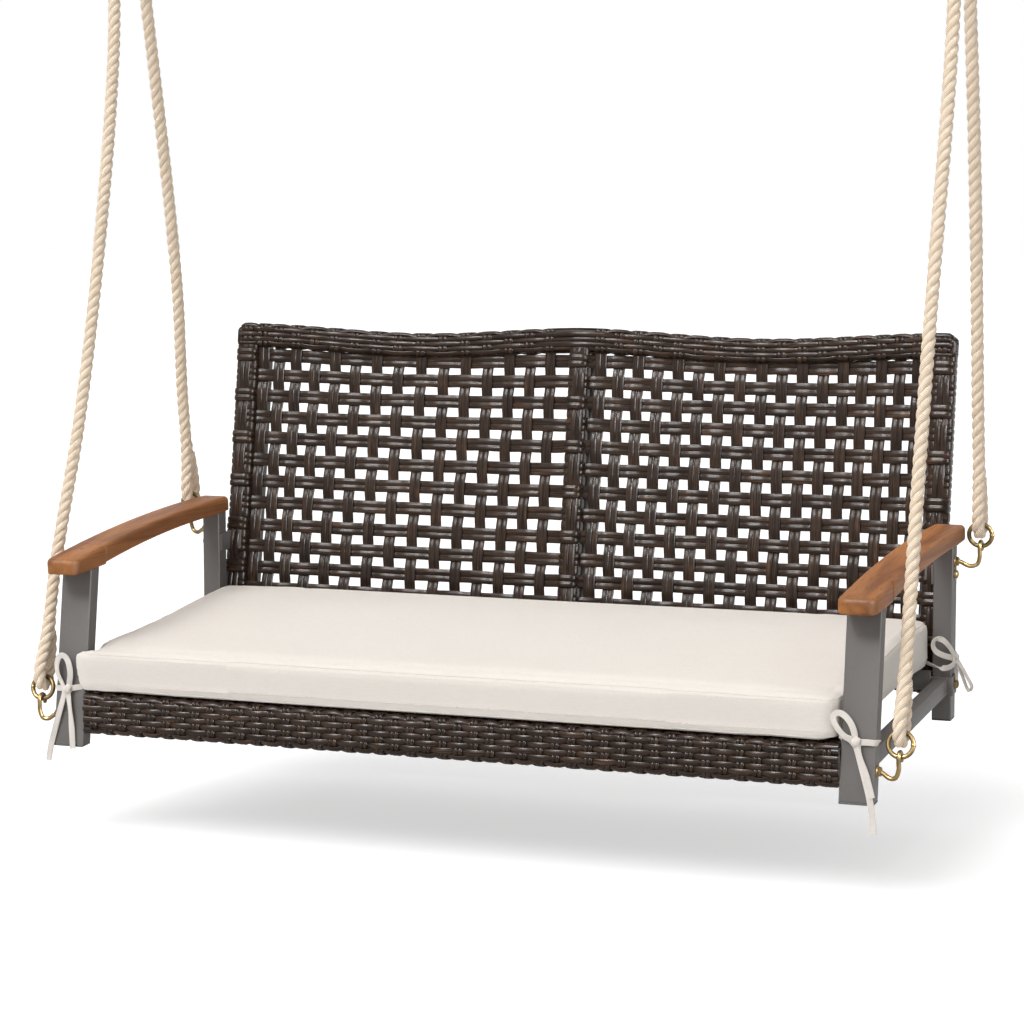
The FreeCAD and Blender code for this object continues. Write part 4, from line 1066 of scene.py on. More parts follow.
class SWINGSEAT_OT_back_borders(bpy.types.Operator):
    """Wrapped side borders and centre column, woven top and bottom borders"""
    bl_idname = "swingseat.back_borders"
    bl_label = "Back borders"

    # Posts: depth from front to back, corner radius, and the uprights' ends.
    post_depth, post_round, post_ends, core_foot = (1.8, 28.2), 8.0, (-130.0, 386.0), -131.0
    side_post, side_uprights = (579.0, 612.0), (592.4, 602.0)
    centre_post, centre_uprights = (-16.5, 12.5), (-4.0, 5.6)
    # The wicker goes over the foot of the bracket from the rear leg: height, reach, run and rise.
    foot_height, foot_reach, foot_run, foot_rise = 53.0, 24.0, 8.0, 4.6
    top_wrap = 379.0
    # Lift of a post's strands: rows on its front, what goes under the uprights, its outer side.
    row_lift, under_lift, outer_lift = 2.9, -1.2, 0.9
    upright_rise, upright_lift = 1.7, 0.4
    # Woven edges: row pitch, rise, half a pair, half depth and corner radius.
    edge_pitch, edge_rise, edge_pair, edge_half, edge_round = 7.8, 1.6, 4.2, 10.0, 7.5
    # The top border's end, its rounded corner, its heights, and where it grows fuller.
    reach, corner, crest, low_side, high_side = 611.0, 11.0, 418.0, -37.0, -1.6
    fuller_start, fuller_end, fuller_share = 556.0, 582.0, 0.30
    # The strands that close its end: distance short of the end, and lift.
    end_rings = ((1.4, 0.0), (0.9, -4.6))
    edge_strand = oval(8.0, 3.6, square=0.95)
    low_level, low_border = -134.0, (1.6, 27.0)

    def execute(self, context):
        for side, sign in SIDES.items():
            self.side_border(side, sign)
            self.top_border(side, sign)
        self.low_borders()
        self.centre_column()
        return {"FINISHED"}

    def side_border(self, side, sign):
        def bulge(at):
            away = np.abs(at - self.foot_height)
            return self.foot_rise * ramp(away, self.foot_reach, self.foot_reach - self.foot_run)

        bundle = Bundle(BACK, seed=31, wobble=0.3)
        self.wrapped_post(bundle, sign, self.side_post, self.side_uprights, bulge)
        bundle.piece(f"{side}_border_wraps", "wicker", "seat", f"back_{side}_border")

    def centre_column(self):
        bundle = Bundle(BACK, seed=35, wobble=0.3)
        self.wrapped_post(bundle, 1, self.centre_post, self.centre_uprights, lambda at: 0.0 * at)
        bundle.piece("centre_column_wraps", "wicker", "seat", "back_centre_column")

    def wrapped_post(self, bundle, sign, span, uprights, bulge):
        """Close wraps round a post, with uprights that the bay's even rows cross."""
        front, back = self.post_depth
        outline = Outline((span[0], front), (span[1], back), self.post_round)
        wrap, upright = oval(15.4, 3.4, sides=10, square=0.75), oval(9.3, 4.2, square=0.9)
        row_strand = oval(10.9, 4.2, square=0.9)
        heights = [*ROW_HEIGHTS, LOW_ROW]
        rows, under = (
            [height + step for height in heights[start::2] for step in (-ROW_PAIR, ROW_PAIR)]
            for start in (0, 1))
        wraps = [self.top_wrap, *((low + high) / 2 for low, high in zip(heights[1:], heights))]

        def bend(at, across, depth):
            return np.stack([sign * across, depth, at], -1)

        def lift(places, rise):
            def at(k, way):
                _, normal = outline.at(way)
                outside = ramp(np.maximum(-normal[:, 1], normal[:, 0]), 0.2, 0.8)
                faced = ramp(-normal[:, 1], 0.3, 0.8)
                return (outside - faced) * self.outer_lift + faced * (rise + bulge(places[k]))
            return at

        bar = Bar(bundle, outline, bend)
        for places, strand, rise in (
                (rows, row_strand, self.row_lift), (under, row_strand, self.under_lift),
                (wraps, wrap, self.under_lift)):
            bar.rings(places, strand, lift(places, rise))
        crossings = ROW_HEIGHTS[::-1]
        bar.runs(
            outline.low_edge(np.array(uprights)), self.post_ends, upright,
            lambda k, at: (
                over_under(at, crossings, 0, self.upright_rise) + self.upright_lift + bulge(at)))
        bar.core((self.core_foot, self.post_ends[1]))

    def woven_edge(self, bundle, rises, bend, places, ends):
        low, high = rises
        outline = Outline((-self.edge_half, low), (self.edge_half, high), self.edge_round)
        bar = Bar(bundle, outline, bend)
        bar.basket(
            places, ends, self.edge_pitch, oval(8.4, 3.2, square=0.95), self.edge_strand,
            self.edge_rise, self.edge_pair)
        bar.core(ends)
        return bar

    def top_border(self, side, sign):
        """The woven top edge, which goes over the side border and rounds its corner."""
        bundle = Bundle(BACK, seed=33, wobble=0.25)
        reach, corner = self.reach, self.corner

        def bend(at, depth, rise):
            turn = np.clip(at - (reach - corner), 0.0, corner)
            drop = (corner - np.sqrt(corner ** 2 - turn ** 2)) * (1.0 - rise / self.low_side)
            fuller = 1.0 + self.fuller_share * ramp(at, self.fuller_start, self.fuller_end)
            return np.stack(
                [sign * at, bay_hollow(at) + depth * fuller,
                 self.crest - TOP_SAG * sag_share(at) + rise - drop], -1)

        places = np.array((*STAKE_PLACES[sign], SIDE_POST))
        bar = self.woven_edge(
            bundle, (self.low_side, self.high_side), bend, places, (-1.0, reach - 2.2))
        for short, inset in self.end_rings:
            bar.rings(
                [reach - short], self.edge_strand, lambda k, way: np.full(len(way), inset))
        bundle.piece(f"{side}_top_border_weave", "wicker", "seat", f"back_{side}_top_border")

    def low_borders(self):
        bundle = Bundle(BACK, seed=34, wobble=0.25)
        ends = (self.edge_half, self.side_post[0])
        for sign in SIDES.values():
            def bend(at, depth, rise):
                return np.stack([sign * at, bay_hollow(at) + depth, self.low_level + rise], -1)

            self.woven_edge(bundle, self.low_border, bend, STAKE_PLACES[sign], ends)
        bundle.piece("low_border_weave", "wicker", "seat", "back_low_borders")


class SWINGSEAT_OT_apron(bpy.types.Operator):
    """Wicker rows woven round the front rail"""
    bl_idname = "swingseat.apron"
    bl_label = "Front apron"

    low, high, corner = (7.2, 21.6), (38.8, 78.4), 8.5
    end, last_pair, pairs = 588.6, 573.0, 47
    row_pitch, rise, half_pair = 9.0, 2.0, 3.1

    def execute(self, context):
        bundle = Bundle(SEAT, seed=41, wobble=0.25)
        bar = Bar(
            bundle, Outline(self.low, self.high, self.corner),
            lambda at, depth, rise: np.stack([at, depth, rise], -1))
        bar.basket(
            np.linspace(-self.last_pair, self.last_pair, self.pairs), (-self.end, self.end),
            self.row_pitch, oval(6.0, 3.4, square=0.85),
            oval(sizes().apron_row * TO_MM, 3.6, square=0.85), self.rise, self.half_pair)
        bundle.piece("apron_weave_strands", "wicker", "seat", "front_apron_weave")
        return {"FINISHED"}


class SWINGSEAT_OT_deck(bpy.types.Operator):
    """Woven straps that carry the cushion"""
    bl_idname = "swingseat.deck"
    bl_label = "Seat deck"

    level, rise = 81.5, 0.95
    strap_front, strap_rear, strap_end, edge_end = 41.5, 515.0, 582.0, 583.0
    strap, edge_strand = oval(29.0, 1.5, sides=10, square=0.5), oval(8.6, 3.4, square=0.9)
    across, along = np.linspace(-562.0, 562.0, 32), np.linspace(62.0, 498.0, 13)
    # Strands over the front rail's edge: back, up, and the way that they face.
    edge_strands = (
        (43.0, 81.9, (0, 0, 1)), (51.0, 81.9, (0, 0, 1)), (59.0, 81.9, (0, 0, 1)),
        (43.6, 77.4, (0, -1, 0)), (43.6, 69.6, (0, -1, 0)), (43.6, 61.8, (0, -1, 0)))

    def execute(self, context):
        bundle = Bundle(SEAT, seed=45)
        y = np.linspace(self.strap_front, self.strap_rear, 90)
        for k, place in enumerate(self.across):
            lift = over_under(y, self.along, k, self.rise)
            bundle.sweep(np.stack([np.full_like(y, place), y, self.level + lift], 1), UP, self.strap)
        x = np.linspace(-self.strap_end, self.strap_end, 220)
        for k, place in enumerate(self.along):
            lift = over_under(x, self.across, k + 1, self.rise)
            bundle.sweep(np.stack([x, np.full_like(x, place), self.level + lift], 1), UP, self.strap)
        edge = np.linspace(-self.edge_end, self.edge_end, 60)
        for back, height, up in self.edge_strands:
            line = np.stack([edge, np.full_like(edge, back), np.full_like(edge, height)], 1)
            bundle.sweep(line, up, self.edge_strand)
        bundle.piece("deck_strap_weave", "wicker", "seat", "seat_deck_weave")
        return {"FINISHED"}


# Cushion

class SWINGSEAT_OT_cushion(bpy.types.Operator):
    """Box cushion with a crowned top, drawn-in sides and stitched seams"""
    bl_idname = "swingseat.cushion"
    bl_label = "Cushion"

    # Metres: the blank is the cushion's solid, drawn in about its middle to leave room to swell.
    middle, blank_shares, voxel = Vector((0.0, 0.2695, 0.1199)), (0.9925, 0.984, 0.90), 0.006
    # Of the filling's swell, this share is kept, less at the corners; a little is added all over.
    swell_share, corner_loss, quick_puff, full_puff = 0.5, 0.45, 0.004, 0.0025
    pressure, last_frame = 4.0, 20
    # Changes of form, as pairs: where each starts, and where it is full.
    held_across, held_along = (0.44, 0.54), (0.13, 0.22)
    # Millimetres in the seat's frame from here on.
    spread_across, spread_along = (470.0, 575.0), (60.0, 86.0)
    roll_across, roll_along = (515.0, 575.0), (70.0, 20.0)
    lap_across, lap_before_leg = (540.0, 582.0), (-2.0, 5.0)
    top_half = (105.0, 140.0)
    top_seam, low_seam, depth_middle = 149.5, 93.0, 269.5
    # A side's half width and half depth, and the share of them where its wall is.
    half_width, half_depth, wall = 588.0, 253.0, (0.93, 0.98)
    # How deep and how wide each seam draws the wall in; the top one lies a little lower.
    top_draw, low_draw, top_draw_drop = (0.9, 2.2), (1.3, 2.6), 2.6
    # The seams' outline, their corner, and the length of a stitch.
    seam_box, seam_corner, stitch = ((-592.0, 12.0), (592.0, 523.0)), 26.0, 4.0
    # Heights of the piping and of the stitches, and how far outside they are searched from.
    piping_heights, piping_search = (top_seam + 7.0, low_seam - 9.0), 8.0
    stitch_heights, stitch_search = (top_seam - 6.4, low_seam + 4.6), 14.0
    between_seams = 120.0
    # The front leg's face goes back with height; the cushion lies between the legs' faces.
    leg_slope, leg_rear, inner_side, outer_side = 0.21, 62.0, 588.5, 603.5
    side_spread, corner_forward, corner_lap = 15.0, 8.0, 26.0
    front, back, underside = 8.0, 523.0, 84.4
    seam_line, straight_reach, straight_run = 10.5, 110.0, 90.0
    # Where the box shape's edges lie, and how far from them they are drawn out.
    box_edges = ((1, -1.0, 11.0), (1, 1.0, 526.0), (0, 1.0, 590.0), (0, -1.0, -590.0))
    box_top, crease_reach = 158.0, 20.0
    # The filling is thicker at the back.
    rise, rise_start, rise_end = 7.0, 110.0, 430.0

    def execute(self, context):
        piece = self.body(context)
        self.settle(piece.data)
        self.seams(piece)
        return {"FINISHED"}

    def body(self, context):
        mesh = frame["nodes"]["seat_cushion"].data.copy()
        mesh.transform(SEAT.inverted())
        for vertex in mesh.vertices:
            away = vertex.co - self.middle
            vertex.co = self.middle + Vector([a * b for a, b in zip(away, self.blank_shares)])
        holder = bpy.data.objects.new("cushion_blank", mesh)
        context.scene.collection.objects.link(holder)
        remesh = holder.modifiers.new("even_mesh", "REMESH")
        remesh.mode = "VOXEL"
        remesh.voxel_size = self.voxel
        holder.data = self.applied(holder)
        holder.modifiers.clear()
        self.fill(context, holder)
        divide = holder.modifiers.new("fine_mesh", "SUBSURF")
        divide.levels = divide.render_levels = 1
        final = self.applied(holder)
        bpy.data.objects.remove(holder)
        final.name = "seat_cushion_cover"
        return new_piece("seat_cushion_cover", final, "cushion_cloth", "seat", ("seat_cushion",))

    def applied(self, holder):
        graph = bpy.context.evaluated_depsgraph_get()
        return bpy.data.meshes.new_from_object(holder.evaluated_get(graph), depsgraph=graph)

    def puff(self, mesh):
        """Quick stand-in for the filling while other pieces are worked on."""
        normals = [vertex.normal.copy() for vertex in mesh.vertices]
        for vertex, normal in zip(mesh.vertices, normals):
            vertex.co += normal * self.quick_puff

    def fill(self, context, holder):
        """Pressure from inside swells the cover, up to a cap."""
        start = np.array([vertex.co[:] for vertex in holder.data.vertices])
        cloth = holder.modifiers.new("filling", "CLOTH")
        cloth.settings.quality = 4
        cloth.settings.use_pressure = True
        cloth.settings.uniform_pressure_force = self.pressure
        cloth.settings.effector_weights.gravity = 0.0
        cloth.point_cache.frame_start, cloth.point_cache.frame_end = 1, self.last_frame
        for number in range(1, self.last_frame + 1):
            context.scene.frame_set(number)
        swollen = self.applied(holder)
        end = np.array([vertex.co[:] for vertex in swollen.vertices])
        holder.modifiers.clear()
        context.scene.frame_set(1)
        bpy.data.meshes.remove(swollen)
        move = end - start
        reach = np.linalg.norm(move, axis=1, keepdims=True)
        move *= np.minimum(1.0, sizes().cushion_swell / np.maximum(reach, 1e-9))
        # The stitched corners hold their shape.
        held = ramp(np.abs(start[:, 0]), *self.held_across)
        held *= ramp(np.abs(start[:, 1] - self.middle.y), *self.held_along)
        facing = np.array([vertex.normal[:] for vertex in holder.data.vertices])
        kept = self.swell_share - self.corner_loss * held[:, None]
        move = move * kept + facing * self.full_puff
        holder.data.vertices.foreach_set("co", (start + move).astype(np.float32).ravel())
        holder.data.update()

    def settle(self, mesh):
        """Keeps the cover clear of its neighbours, flat under it, and draws in the seams."""
        points = np.empty(len(mesh.vertices) * 3, np.float32)
        mesh.vertices.foreach_get("co", points)
        points = points.reshape(-1, 3).astype(float) * TO_MM
        x, y, z = points.T
        # The sides spread between the legs, and the front left corner rolls round its leg.
        spread = ramp(np.abs(x), *self.spread_across) * ramp(y, *self.spread_along)
        x += np.sign(x) * self.side_spread * spread
        y -= self.corner_forward * ramp(-x, *self.roll_across) * ramp(y, *self.roll_along)
        before_leg = ramp(self.leg_slope * z - y, *self.lap_before_leg)
        x -= self.corner_lap * ramp(-x, *self.lap_across) * before_leg
        z += self.rear_rise(y) * ramp(z, *self.top_half)
        self.straighten(points)
        self.crease(points)
        self.draw_in(points)
        behind = y > self.leg_slope * z - 0.5
        beside = np.where(behind & (y < self.leg_rear), self.inner_side, self.outer_side)
        points[:, 0] = np.clip(x, -beside, beside)
        points[:, 1] = np.clip(y, self.front, self.back)
        points[:, 2] = np.maximum(z, self.underside)
        place = np.array(SEAT)
        world = points * MM @ place[:3, :3].T + place[:3, 3]
        mesh.vertices.foreach_set("co", world.astype(np.float32).ravel())
        shade_smooth(mesh)
        mesh.update()

    def straighten(self, points):
        """Draws the front edge out to one line, as its seam does."""
        x, y, _ = points.T
        number = np.clip(np.digitize(x, np.linspace(-600.0, 600.0, 41)), 1, 40)
        groups = [number == k for k in range(1, 41) if (number == k).any()]
        front = np.interp(x, [x[g].mean() for g in groups], [y[g].min() for g in groups])
        near = smooth_share((self.straight_reach - (y - front)) / self.straight_run)
        points[:, 1] -= (front - self.seam_line) * near

    def crease(self, points):
        """Brings the rounded edges closer to the seams, so that the box shape shows."""
        _, y, z = points.T
        reach = self.crease_reach
        for axis, outward, edge in self.box_edges:
            for up in (1.0, -1.0):
                level = self.box_top + self.rear_rise(y) if up > 0 else self.underside
                aside = np.clip(reach - (edge - points[:, axis]) * outward, 0.0, None)
                above = np.clip(reach - (level - z) * up, 0.0, None)
                boxy = (aside ** 4 + above ** 4) ** 0.25
                push = np.hypot(aside, above) / np.maximum(boxy, 1e-6) - 1.0
                push = np.where(boxy > 1e-6, push, 0.0)
                points[:, axis] += outward * aside * push
                points[:, 2] += up * above * push

    def draw_in(self, points):
        """Draws the sides in along both seams."""
        x, y, z = points.T
        side = np.maximum(
            np.abs(x) / self.half_width, np.abs(y - self.depth_middle) / self.half_depth)
        wall = ramp(side, *self.wall)
        top = self.top_seam - self.top_draw_drop + self.rear_rise(y)
        for height, (depth, spread) in ((top, self.top_draw), (self.low_seam, self.low_draw)):
            draw = depth * np.exp(-((z - height) / spread) ** 2) * wall
            inward = unit(np.array((0.0, self.depth_middle)) - points[:, :2])
            points[:, :2] += inward * draw[:, None]

    def rear_rise(self, y):
        """The filling is a little thicker towards the back."""
        return self.rise * ramp(y, self.rise_start, self.rise_end)

    def seams(self, cover):
        mesh = cover.data
        inverse = SEAT.inverted()
        tree = BVHTree.FromPolygons(
            [inverse @ vertex.co * TO_MM for vertex in mesh.vertices],
            [tuple(polygon.vertices) for polygon in mesh.polygons])
        outline = Outline(*self.seam_box, self.seam_corner, steps=10)
        way = np.arange(0.0, outline.length, self.stitch)
        bundle = Bundle(SEAT, seed=51)
        # A cord of piping lies above and below, and a row of stitches beside each.
        for height in self.piping_heights:
            line, out = self.on_cover(tree, outline, way, height, self.piping_search)
            bundle.sweep(line + out * 0.25, out, oval(1.9, 1.3, square=1.0), loop=True)
        shares = np.array([[-0.1], [0.15], [0.85], [1.1]])
        lifts = np.array([[-0.3], [0.35], [0.35], [-0.3]])
        for height in self.stitch_heights:
            line, out = self.on_cover(tree, outline, way, height, self.stitch_search)
            for k in range(0, len(way) - 1, 2):
                stitch = line[k] + (line[k + 1] - line[k]) * shares
                bundle.sweep(stitch + out[k] * lifts, out[k], oval(1.1, 0.9, sides=6, square=1.0))
        bundle.piece("cushion_seams", "cushion_cloth", "seat", look="strap_cloth")

    def on_cover(self, tree, outline, way, height, clear):
        """The nearest points of the cover to a line outside its edge, and their facings."""
        point, normal = outline.at(way)
        line, out = [], []
        for spot, facing in zip(point, normal):
            rise = self.rear_rise(spot[1]) if height > self.between_seams else 0.0
            hit, away, _, _ = tree.find_nearest(Vector((*(spot + facing * clear), height + rise)))
            line.append(hit[:])
            out.append(away[:])
        return self.evened(np.array(line)), unit(self.evened(np.array(out)))

    def evened(self, rows):
        """Each row of a loop, averaged twice with its neighbours."""
        for _ in range(2):
            rows = (np.roll(rows, 1, 0) + 2.0 * rows + np.roll(rows, -1, 0)) / 4.0
        return rows


# Wood

class SWINGSEAT_OT_armrests(bpy.types.Operator):
    """Arched hardwood armrests with a jointed tip over the front leg"""
    bl_idname = "swingseat.armrests"
    bl_label = "Armrests"

    # Along the armrest: its front, the tip's joint, where the plank lies on the leg, its rear.
    front, joint, seat, rear = 5.0, 102.0, 497.0, 541.0
    arch = 299.8
    # Heights of the top at front, arch and rear, and of the plank's underside from the joint on.
    top_heights, low_heights, seat_height, tip_low = (
        (287.0, 302.0, 297.5), (267.0, 277.0, 273.6), 273.7, 264.1)
    # The sides' distance from the middle at the front, and how much farther it is at the rear.
    inner, inner_spread, outer, outer_spread = 587.0, 12.0, 643.0, 6.0
    top_round, low_round, end_round, joint_round = 7.0, 3.0, 2.2, 1.4
    # The tip's front corners, seen from above and from the side.
    tip_plan_round, tip_rise_round = 15.0, 6.0
    screws = (75.0, 512.0)
    screw_head = ((0.0, 3.4), (1.5, 3.4), (1.8, 3.1), (1.7, 2.2), (1.1, 1.6), (1.1, 0.2))

    def execute(self, context):
        tips = Bundle(SEAT, seed=61)
        for side, sign in SIDES.items():
            plank = Bundle(SEAT, seed=62)
            y = np.concatenate([
                self.joint + np.array([0.2, 0.5, 1.2, 3.0]), np.linspace(112.0, 532.0, 48),
                self.rear - np.array([4.0, 1.7, 0.5, 0.0])])
            eased = self.ease(np.minimum(y - self.joint, self.rear - y), self.end_round)
            self.loft(plank, sign, y, self.plank_low(y), eased, eased)
            plank.piece(f"{side}_armrest_board", "armrest_wood", "seat", f"{side}_armrest_plank")
            y = np.concatenate([
                self.front + np.array([0.0, 0.5, 1.5, 3.0, 5.0, 7.5, 10.5, 14.0]),
                np.linspace(24.0, 96.0, 12), self.joint - np.array([2.0, 1.0, 0.4, 0.1])])
            at_joint = self.ease(self.joint - y, self.joint_round)
            plan, rise = (
                np.maximum(self.ease(y - self.front, radius), at_joint)
                for radius in (self.tip_plan_round, self.tip_rise_round))
            self.loft(tips, sign, y, np.full_like(y, self.tip_low), plan, rise)
        tips.piece("armrest_tip_blocks", "armrest_wood", "seat", "armrest_tips")
        self.screw_heads()
        return {"FINISHED"}

    def ease(self, gap, radius):
        """How far an edge of this radius has drawn in, this far from the end."""
        gap = np.clip(radius - gap, 0.0, radius)
        return radius - np.sqrt(np.maximum(radius ** 2 - gap ** 2, 0.0)) * 0.985

    def top(self, y):
        places = (self.front, self.arch, self.rear)
        return np.polyval(np.polyfit(places, self.top_heights, 2), y)

    def plank_low(self, y):
        arch = np.polyfit((self.joint, self.arch, self.seat), self.low_heights, 2)
        return np.where(y > self.seat, self.seat_height, np.polyval(arch, y))

    def sides(self, y):
        share = (y - self.front) / (self.rear - self.front)
        return self.inner + share * self.inner_spread, self.outer + share * self.outer_spread

    def loft(self, bundle, sign, y, low, plan, rise):
        inner, outer = self.sides(y)
        inner, outer = inner + plan, outer - plan
        high, low = self.top(y) - rise, low + rise * 0.6
        rings = []
        for k in range(len(y)):
            ring = []
            for x, z, radius, start in (
                    (outer[k], low[k], self.low_round, -90), (outer[k], high[k], self.top_round, 0),
                    (inner[k], high[k], self.top_round, 90), (inner[k], low[k], self.low_round, 180)):
                radius = min(radius, (high[k] - low[k]) * 0.45)
                cx = x - radius if start in (-90, 0) else x + radius
                cz = z + radius if start in (-90, 180) else z - radius
                for step in range(6):
                    turn = math.radians(start + 18.0 * step)
                    ring.append((cx + radius * math.cos(turn), y[k], cz + radius * math.sin(turn)))
            rings.append(ring)
        rings = np.array(rings)
        if sign < 0:
            rings[:, :, 0] *= -1.0
            rings = rings[:, ::-1]
        bundle.skin(rings)

    def screw_heads(self):
        bundle = Bundle(SEAT, seed=63)
        for sign in SIDES.values():
            for y in self.screws:
                place = (sign * sum(self.sides(y)) / 2, y, self.top(y) - 1.6)
                bundle.turned(place, UP, self.screw_head, sides=16)
        bundle.piece("armrest_screw_heads", "foot_plug", "seat")


# Metal

class SWINGSEAT_OT_frame_tubes(bpy.types.Operator):
    """Legs, rails, posts and brackets in grey powder coat, with foot plugs"""
    bl_idname = "swingseat.frame_tubes"
    bl_label = "Frame tubes"

    tubes = (
        "left_front_leg", "right_front_leg", "left_rear_leg", "right_rear_leg",
        "left_side_rail", "right_side_rail", "left_rail_bracket", "right_rail_bracket",
        "rear_rail", "seat_cross_bars", "left_back_bracket", "right_back_bracket")
    bracket_edge, plug_edge = 0.0008, 0.0007
    # Posts behind the back: their middles, half width, depth and ends.
    posts_at, post_half = (-585.5, 0.0, 585.5), 17.0
    post_depth, post_ends = (30.1, 53.5), (-134.0, 396.0)

    def execute(self, context):
        for node in self.tubes:
            thin = node.endswith("bracket")
            dressed(node, "frame", self.bracket_edge if thin else sizes().edge_round)
        self.posts()
        self.rail_bands()
        dressed("foot_plugs", "foot_plug", self.plug_edge)
        for node in ("front_rail", "back_stiles"):
            inside = frame["nodes"][node]
            inside.data.materials.clear()
            inside.data.materials.append(finish("frame"))
        return {"FINISHED"}

    def rail_bands(self):
        """The rail's end is turned into a band over the front of the rear leg."""
        for side, sign in SIDES.items():
            bundle = Bundle(SEAT, seed=66)
            capped_bar(
                bundle, low=(604.6, 494.4), high=(639.8, 500.8), radius=2.4, ends=(40.2, 68.8),
                cap=1.2, cap_share=0.96, sign=sign)
            bundle.piece(f"{side}_rail_band", "frame", "seat", sharp=40)

    def posts(self):
        """Flat oval posts behind the side borders and the centre column."""
        bundle = Bundle(BACK, seed=65)
        front, back = self.post_depth
        for middle in self.posts_at:
            capped_bar(
                bundle, (middle - self.post_half, front), (middle + self.post_half, back), radius=5.0,
                ends=self.post_ends, cap=0.8, cap_share=0.94)
        bundle.piece("back_post_tubes", "frame", "seat", "back_posts", sharp=40)


class SWINGSEAT_OT_brass(bpy.types.Operator):
    """Rings, hooks, bolts, staples and ceiling plates in aged brass"""
    bl_idname = "swingseat.brass"
    bl_label = "Brass fittings"

    # Millimetres: rings by the radius to the middle of the wire and the wire's own.
    low_wire, top_radius, top_wire, top_level = 3.4, 26.0, 4.0, -52.7
    weld = ((0.0, 3.2), (0.7, 3.75), (3.7, 3.75), (4.4, 3.2))
    # Hooks: the leg's outer face, the plate's place on it, and how far back the column stands.
    hook_places = ((640.0, 22.04, 44.0, 4.0), (636.0, 528.0, 243.0, 21.0))
    hook_rod, crook, hook_tip = disc(6.5, 12), 8.0, (0.95, 0.72, 0.3)
    hook_plate = ((0.0, 9.0), (1.4, 9.0), (2.0, 8.3), (2.0, 3.0))
    hook_nut = ((1.9, 6.2), (2.3, 6.9), (5.6, 6.9), (6.2, 6.0), (6.2, 3.0))
    bolt_places = ((636.0, 527.0, 223.0), (639.0, 514.0, 55.0))
    bolt_dome = (
        (0.0, 8.2), (1.0, 8.2), (1.3, 7.0), (3.4, 6.6), (4.8, 5.2), (5.6, 2.8), (5.8, 0.4))

    def execute(self, context):
        self.rope_rings()
        self.top_rings()
        self.hooks()
        self.bolts()
        dressed("hanger_plates", "aged_brass", 0.0012)
        dressed("hanger_staples", "aged_brass", 0.0006)
        return {"FINISHED"}

    def ring(self, bundle, centre, first, second, radius, wire):
        turn = np.arange(56)[:, None] * FULL_TURN / 56
        out = np.asarray(first) * np.cos(turn) + np.asarray(second) * np.sin(turn)
        bundle.sweep(np.asarray(centre) + out * radius, out, disc(wire * 2, 14), loop=True)

    def rope_rings(self):
        ropes = SWINGSEAT_OT_ropes
        radius = ropes.ring_across * TO_MM / 2
        for side, sign in SIDES.items():
            bundle = Bundle(WHOLE, seed=71)
            x = sign * ropes.hang_x
            for low, high, _ in ropes.runs.values():
                pin, top = np.array((x, *low)), np.array((x, *high))
                along = unit(top - pin)
                centre = (pin + along * ropes.ring_across / 2) * TO_MM
                self.ring(bundle, centre, along, (1.0, 0.0, 0.0), radius, self.low_wire)
                weld = centre + np.array((sign * radius, 0.0, 0.0))
                bundle.turned(weld - along * self.weld[-1][0] / 2, along, self.weld, sides=14)
            bundle.piece(f"{side}_low_rings", "aged_brass", f"{side}_ropes", f"{side}_rope_rings")

    def top_rings(self):
        bundle = Bundle(WHOLE, seed=72)
        for sign in SIDES.values():
            centre = (sign * SWINGSEAT_OT_ropes.hang_x * TO_MM, 0.0, self.top_level)
            self.ring(bundle, centre, (0.0, 1.0, 0.0), UP, self.top_radius, self.top_wire)
        bundle.piece("top_ring_pair", "aged_brass", "top_rings", "top_rings")

    def hooks(self):
        bundle = Bundle(SEAT, seed=73)
        for sign in SIDES.values():
            for leg, y, z, set_back in self.hook_places:
                self.hook(bundle, sign, leg, y, z, set_back)
        bundle.piece("leg_hooks", "aged_brass", "seat", "rope_hooks")

    def hook(self, bundle, sign, leg, y, z, set_back):
        """A rod that leaves the leg, dips, stands up under the ring and crooks over it."""
        hang, bend = SWINGSEAT_OT_ropes.hang_x * TO_MM, self.crook
        across, back = hang - leg, y + set_back - bend
        line = self.eased(np.array([
            (leg + 0.5, y, z + 1.0), (leg + across * 0.25, y + (back - y) * 0.25, z - 1.5),
            (leg + across * 0.58, y + (back - y) * 0.6, z - 8.0), (hang - 4.0, back, z - 6.0),
            (hang, back, z + 5.0), (hang, back, z + 14.0), (hang, back, z + 20.0)]))
        top = np.array((hang, back + bend, z + 20.0))
        for turn in np.linspace(0.0, math.pi, 13)[1:]:
            line.append(top + np.array((0.0, -bend * math.cos(turn), bend * math.sin(turn))))
        end = top + np.array((0.0, bend, 0.0))
        line = np.array(line + [end - UP * drop for drop in (3.0, 5.6, 7.2, 8.0)])
        swell = np.ones(len(line))
        swell[-3:] = self.hook_tip
        side, _ = carried_frame(line, UP)
        line[:, 0] *= sign
        side[:, 0] *= sign
        bundle.sweep(line, side, self.hook_rod, swell=swell)
        face, axis = np.array((sign * leg, y, z)), (sign, 0.0, 0.0)
        bundle.turned(face, axis, self.hook_plate, sides=28)
        bundle.turned(face, axis, self.hook_nut, sides=6)

    def bolts(self):
        bundle = Bundle(SEAT, seed=74)
        for sign in SIDES.values():
            for face, y, z in self.bolt_places:
                bundle.turned((sign * face, y, z), (sign, 0.0, 0.0), self.bolt_dome, sides=18)
        bundle.piece("leg_bolts", "aged_brass", "seat")

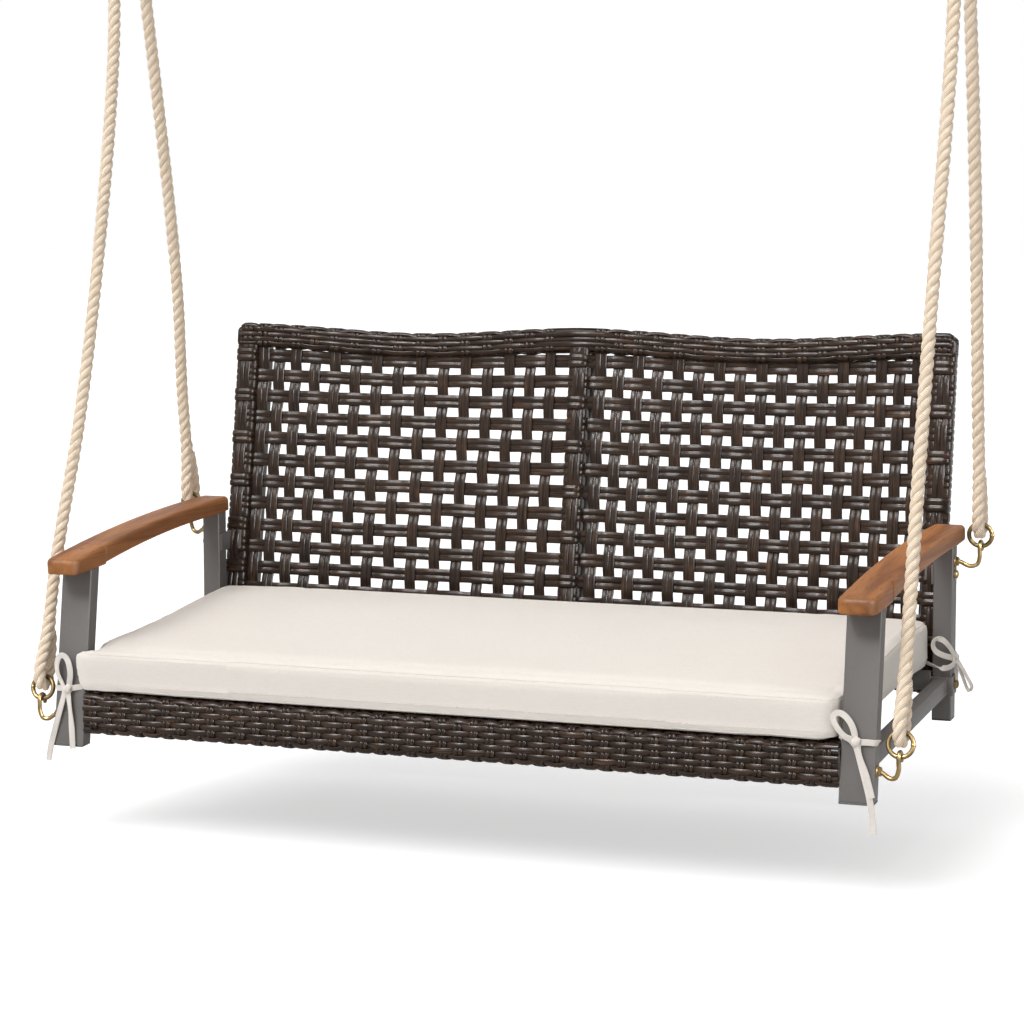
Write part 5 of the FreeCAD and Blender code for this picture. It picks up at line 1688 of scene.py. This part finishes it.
    def eased(self, knots):
        """A smooth line through a hook's bending points."""
        ends = np.concatenate([[2 * knots[0] - knots[1]], knots, [2 * knots[-1] - knots[-2]]])
        line = []
        for a, b, c, d in zip(ends, ends[1:], ends[2:], ends[3:]):
            for t in np.linspace(0.0, 1.0, 5)[:-1]:
                line.append(0.5 * (2 * b + (c - a) * t + (2 * a - 5 * b + 4 * c - d) * t ** 2
                                   + (3 * b - a - 3 * c + d) * t ** 3))
        return line + [knots[-1]]


# Panel and run

class SWINGSEAT_PT_panel(bpy.types.Panel):
    """Buttons for the swing seat's pieces"""
    bl_idname = "SWINGSEAT_PT_panel"
    bl_label = "Swing seat"
    bl_space_type = "VIEW_3D"
    bl_region_type = "UI"
    bl_category = "Swing seat"

    def draw(self, context):
        for operator in OPERATORS:
            self.layout.operator(operator.bl_idname)
        for group in GROUPS:
            settings = getattr(context.scene, group)
            box = self.layout.box()
            for name in settings.bl_rna.properties.keys():
                if name not in {"rna_type", "name"}:
                    box.prop(settings, name)


OPERATORS = (
    SWINGSEAT_OT_stage, SWINGSEAT_OT_ropes, SWINGSEAT_OT_ties, SWINGSEAT_OT_back_bays,
    SWINGSEAT_OT_back_borders, SWINGSEAT_OT_apron, SWINGSEAT_OT_deck, SWINGSEAT_OT_cushion,
    SWINGSEAT_OT_armrests, SWINGSEAT_OT_frame_tubes, SWINGSEAT_OT_brass)
GROUPS = {
    "swing_seat_sizes": SwingSeatSizes,
    "swing_seat_colours": SwingSeatColours,
    "swing_seat_stage": SwingSeatStage,
}


def register():
    for group in (*GROUPS.values(), *OPERATORS, SWINGSEAT_PT_panel):
        bpy.utils.register_class(group)
    for name, group in GROUPS.items():
        setattr(bpy.types.Scene, name, bpy.props.PointerProperty(type=group))


def unregister():
    for name in GROUPS:
        delattr(bpy.types.Scene, name)
    for group in (SWINGSEAT_PT_panel, *reversed(OPERATORS), *GROUPS.values()):
        bpy.utils.unregister_class(group)


def main():
    register()
    bpy.ops.swingseat.stage()
    bpy.ops.swingseat.ropes()
    bpy.ops.swingseat.ties()
    bpy.ops.swingseat.back_bays()
    bpy.ops.swingseat.back_borders()
    bpy.ops.swingseat.apron()
    bpy.ops.swingseat.deck()
    bpy.ops.swingseat.cushion()
    bpy.ops.swingseat.armrests()
    bpy.ops.swingseat.frame_tubes()
    bpy.ops.swingseat.brass()


if __name__ == "__main__":
    main()
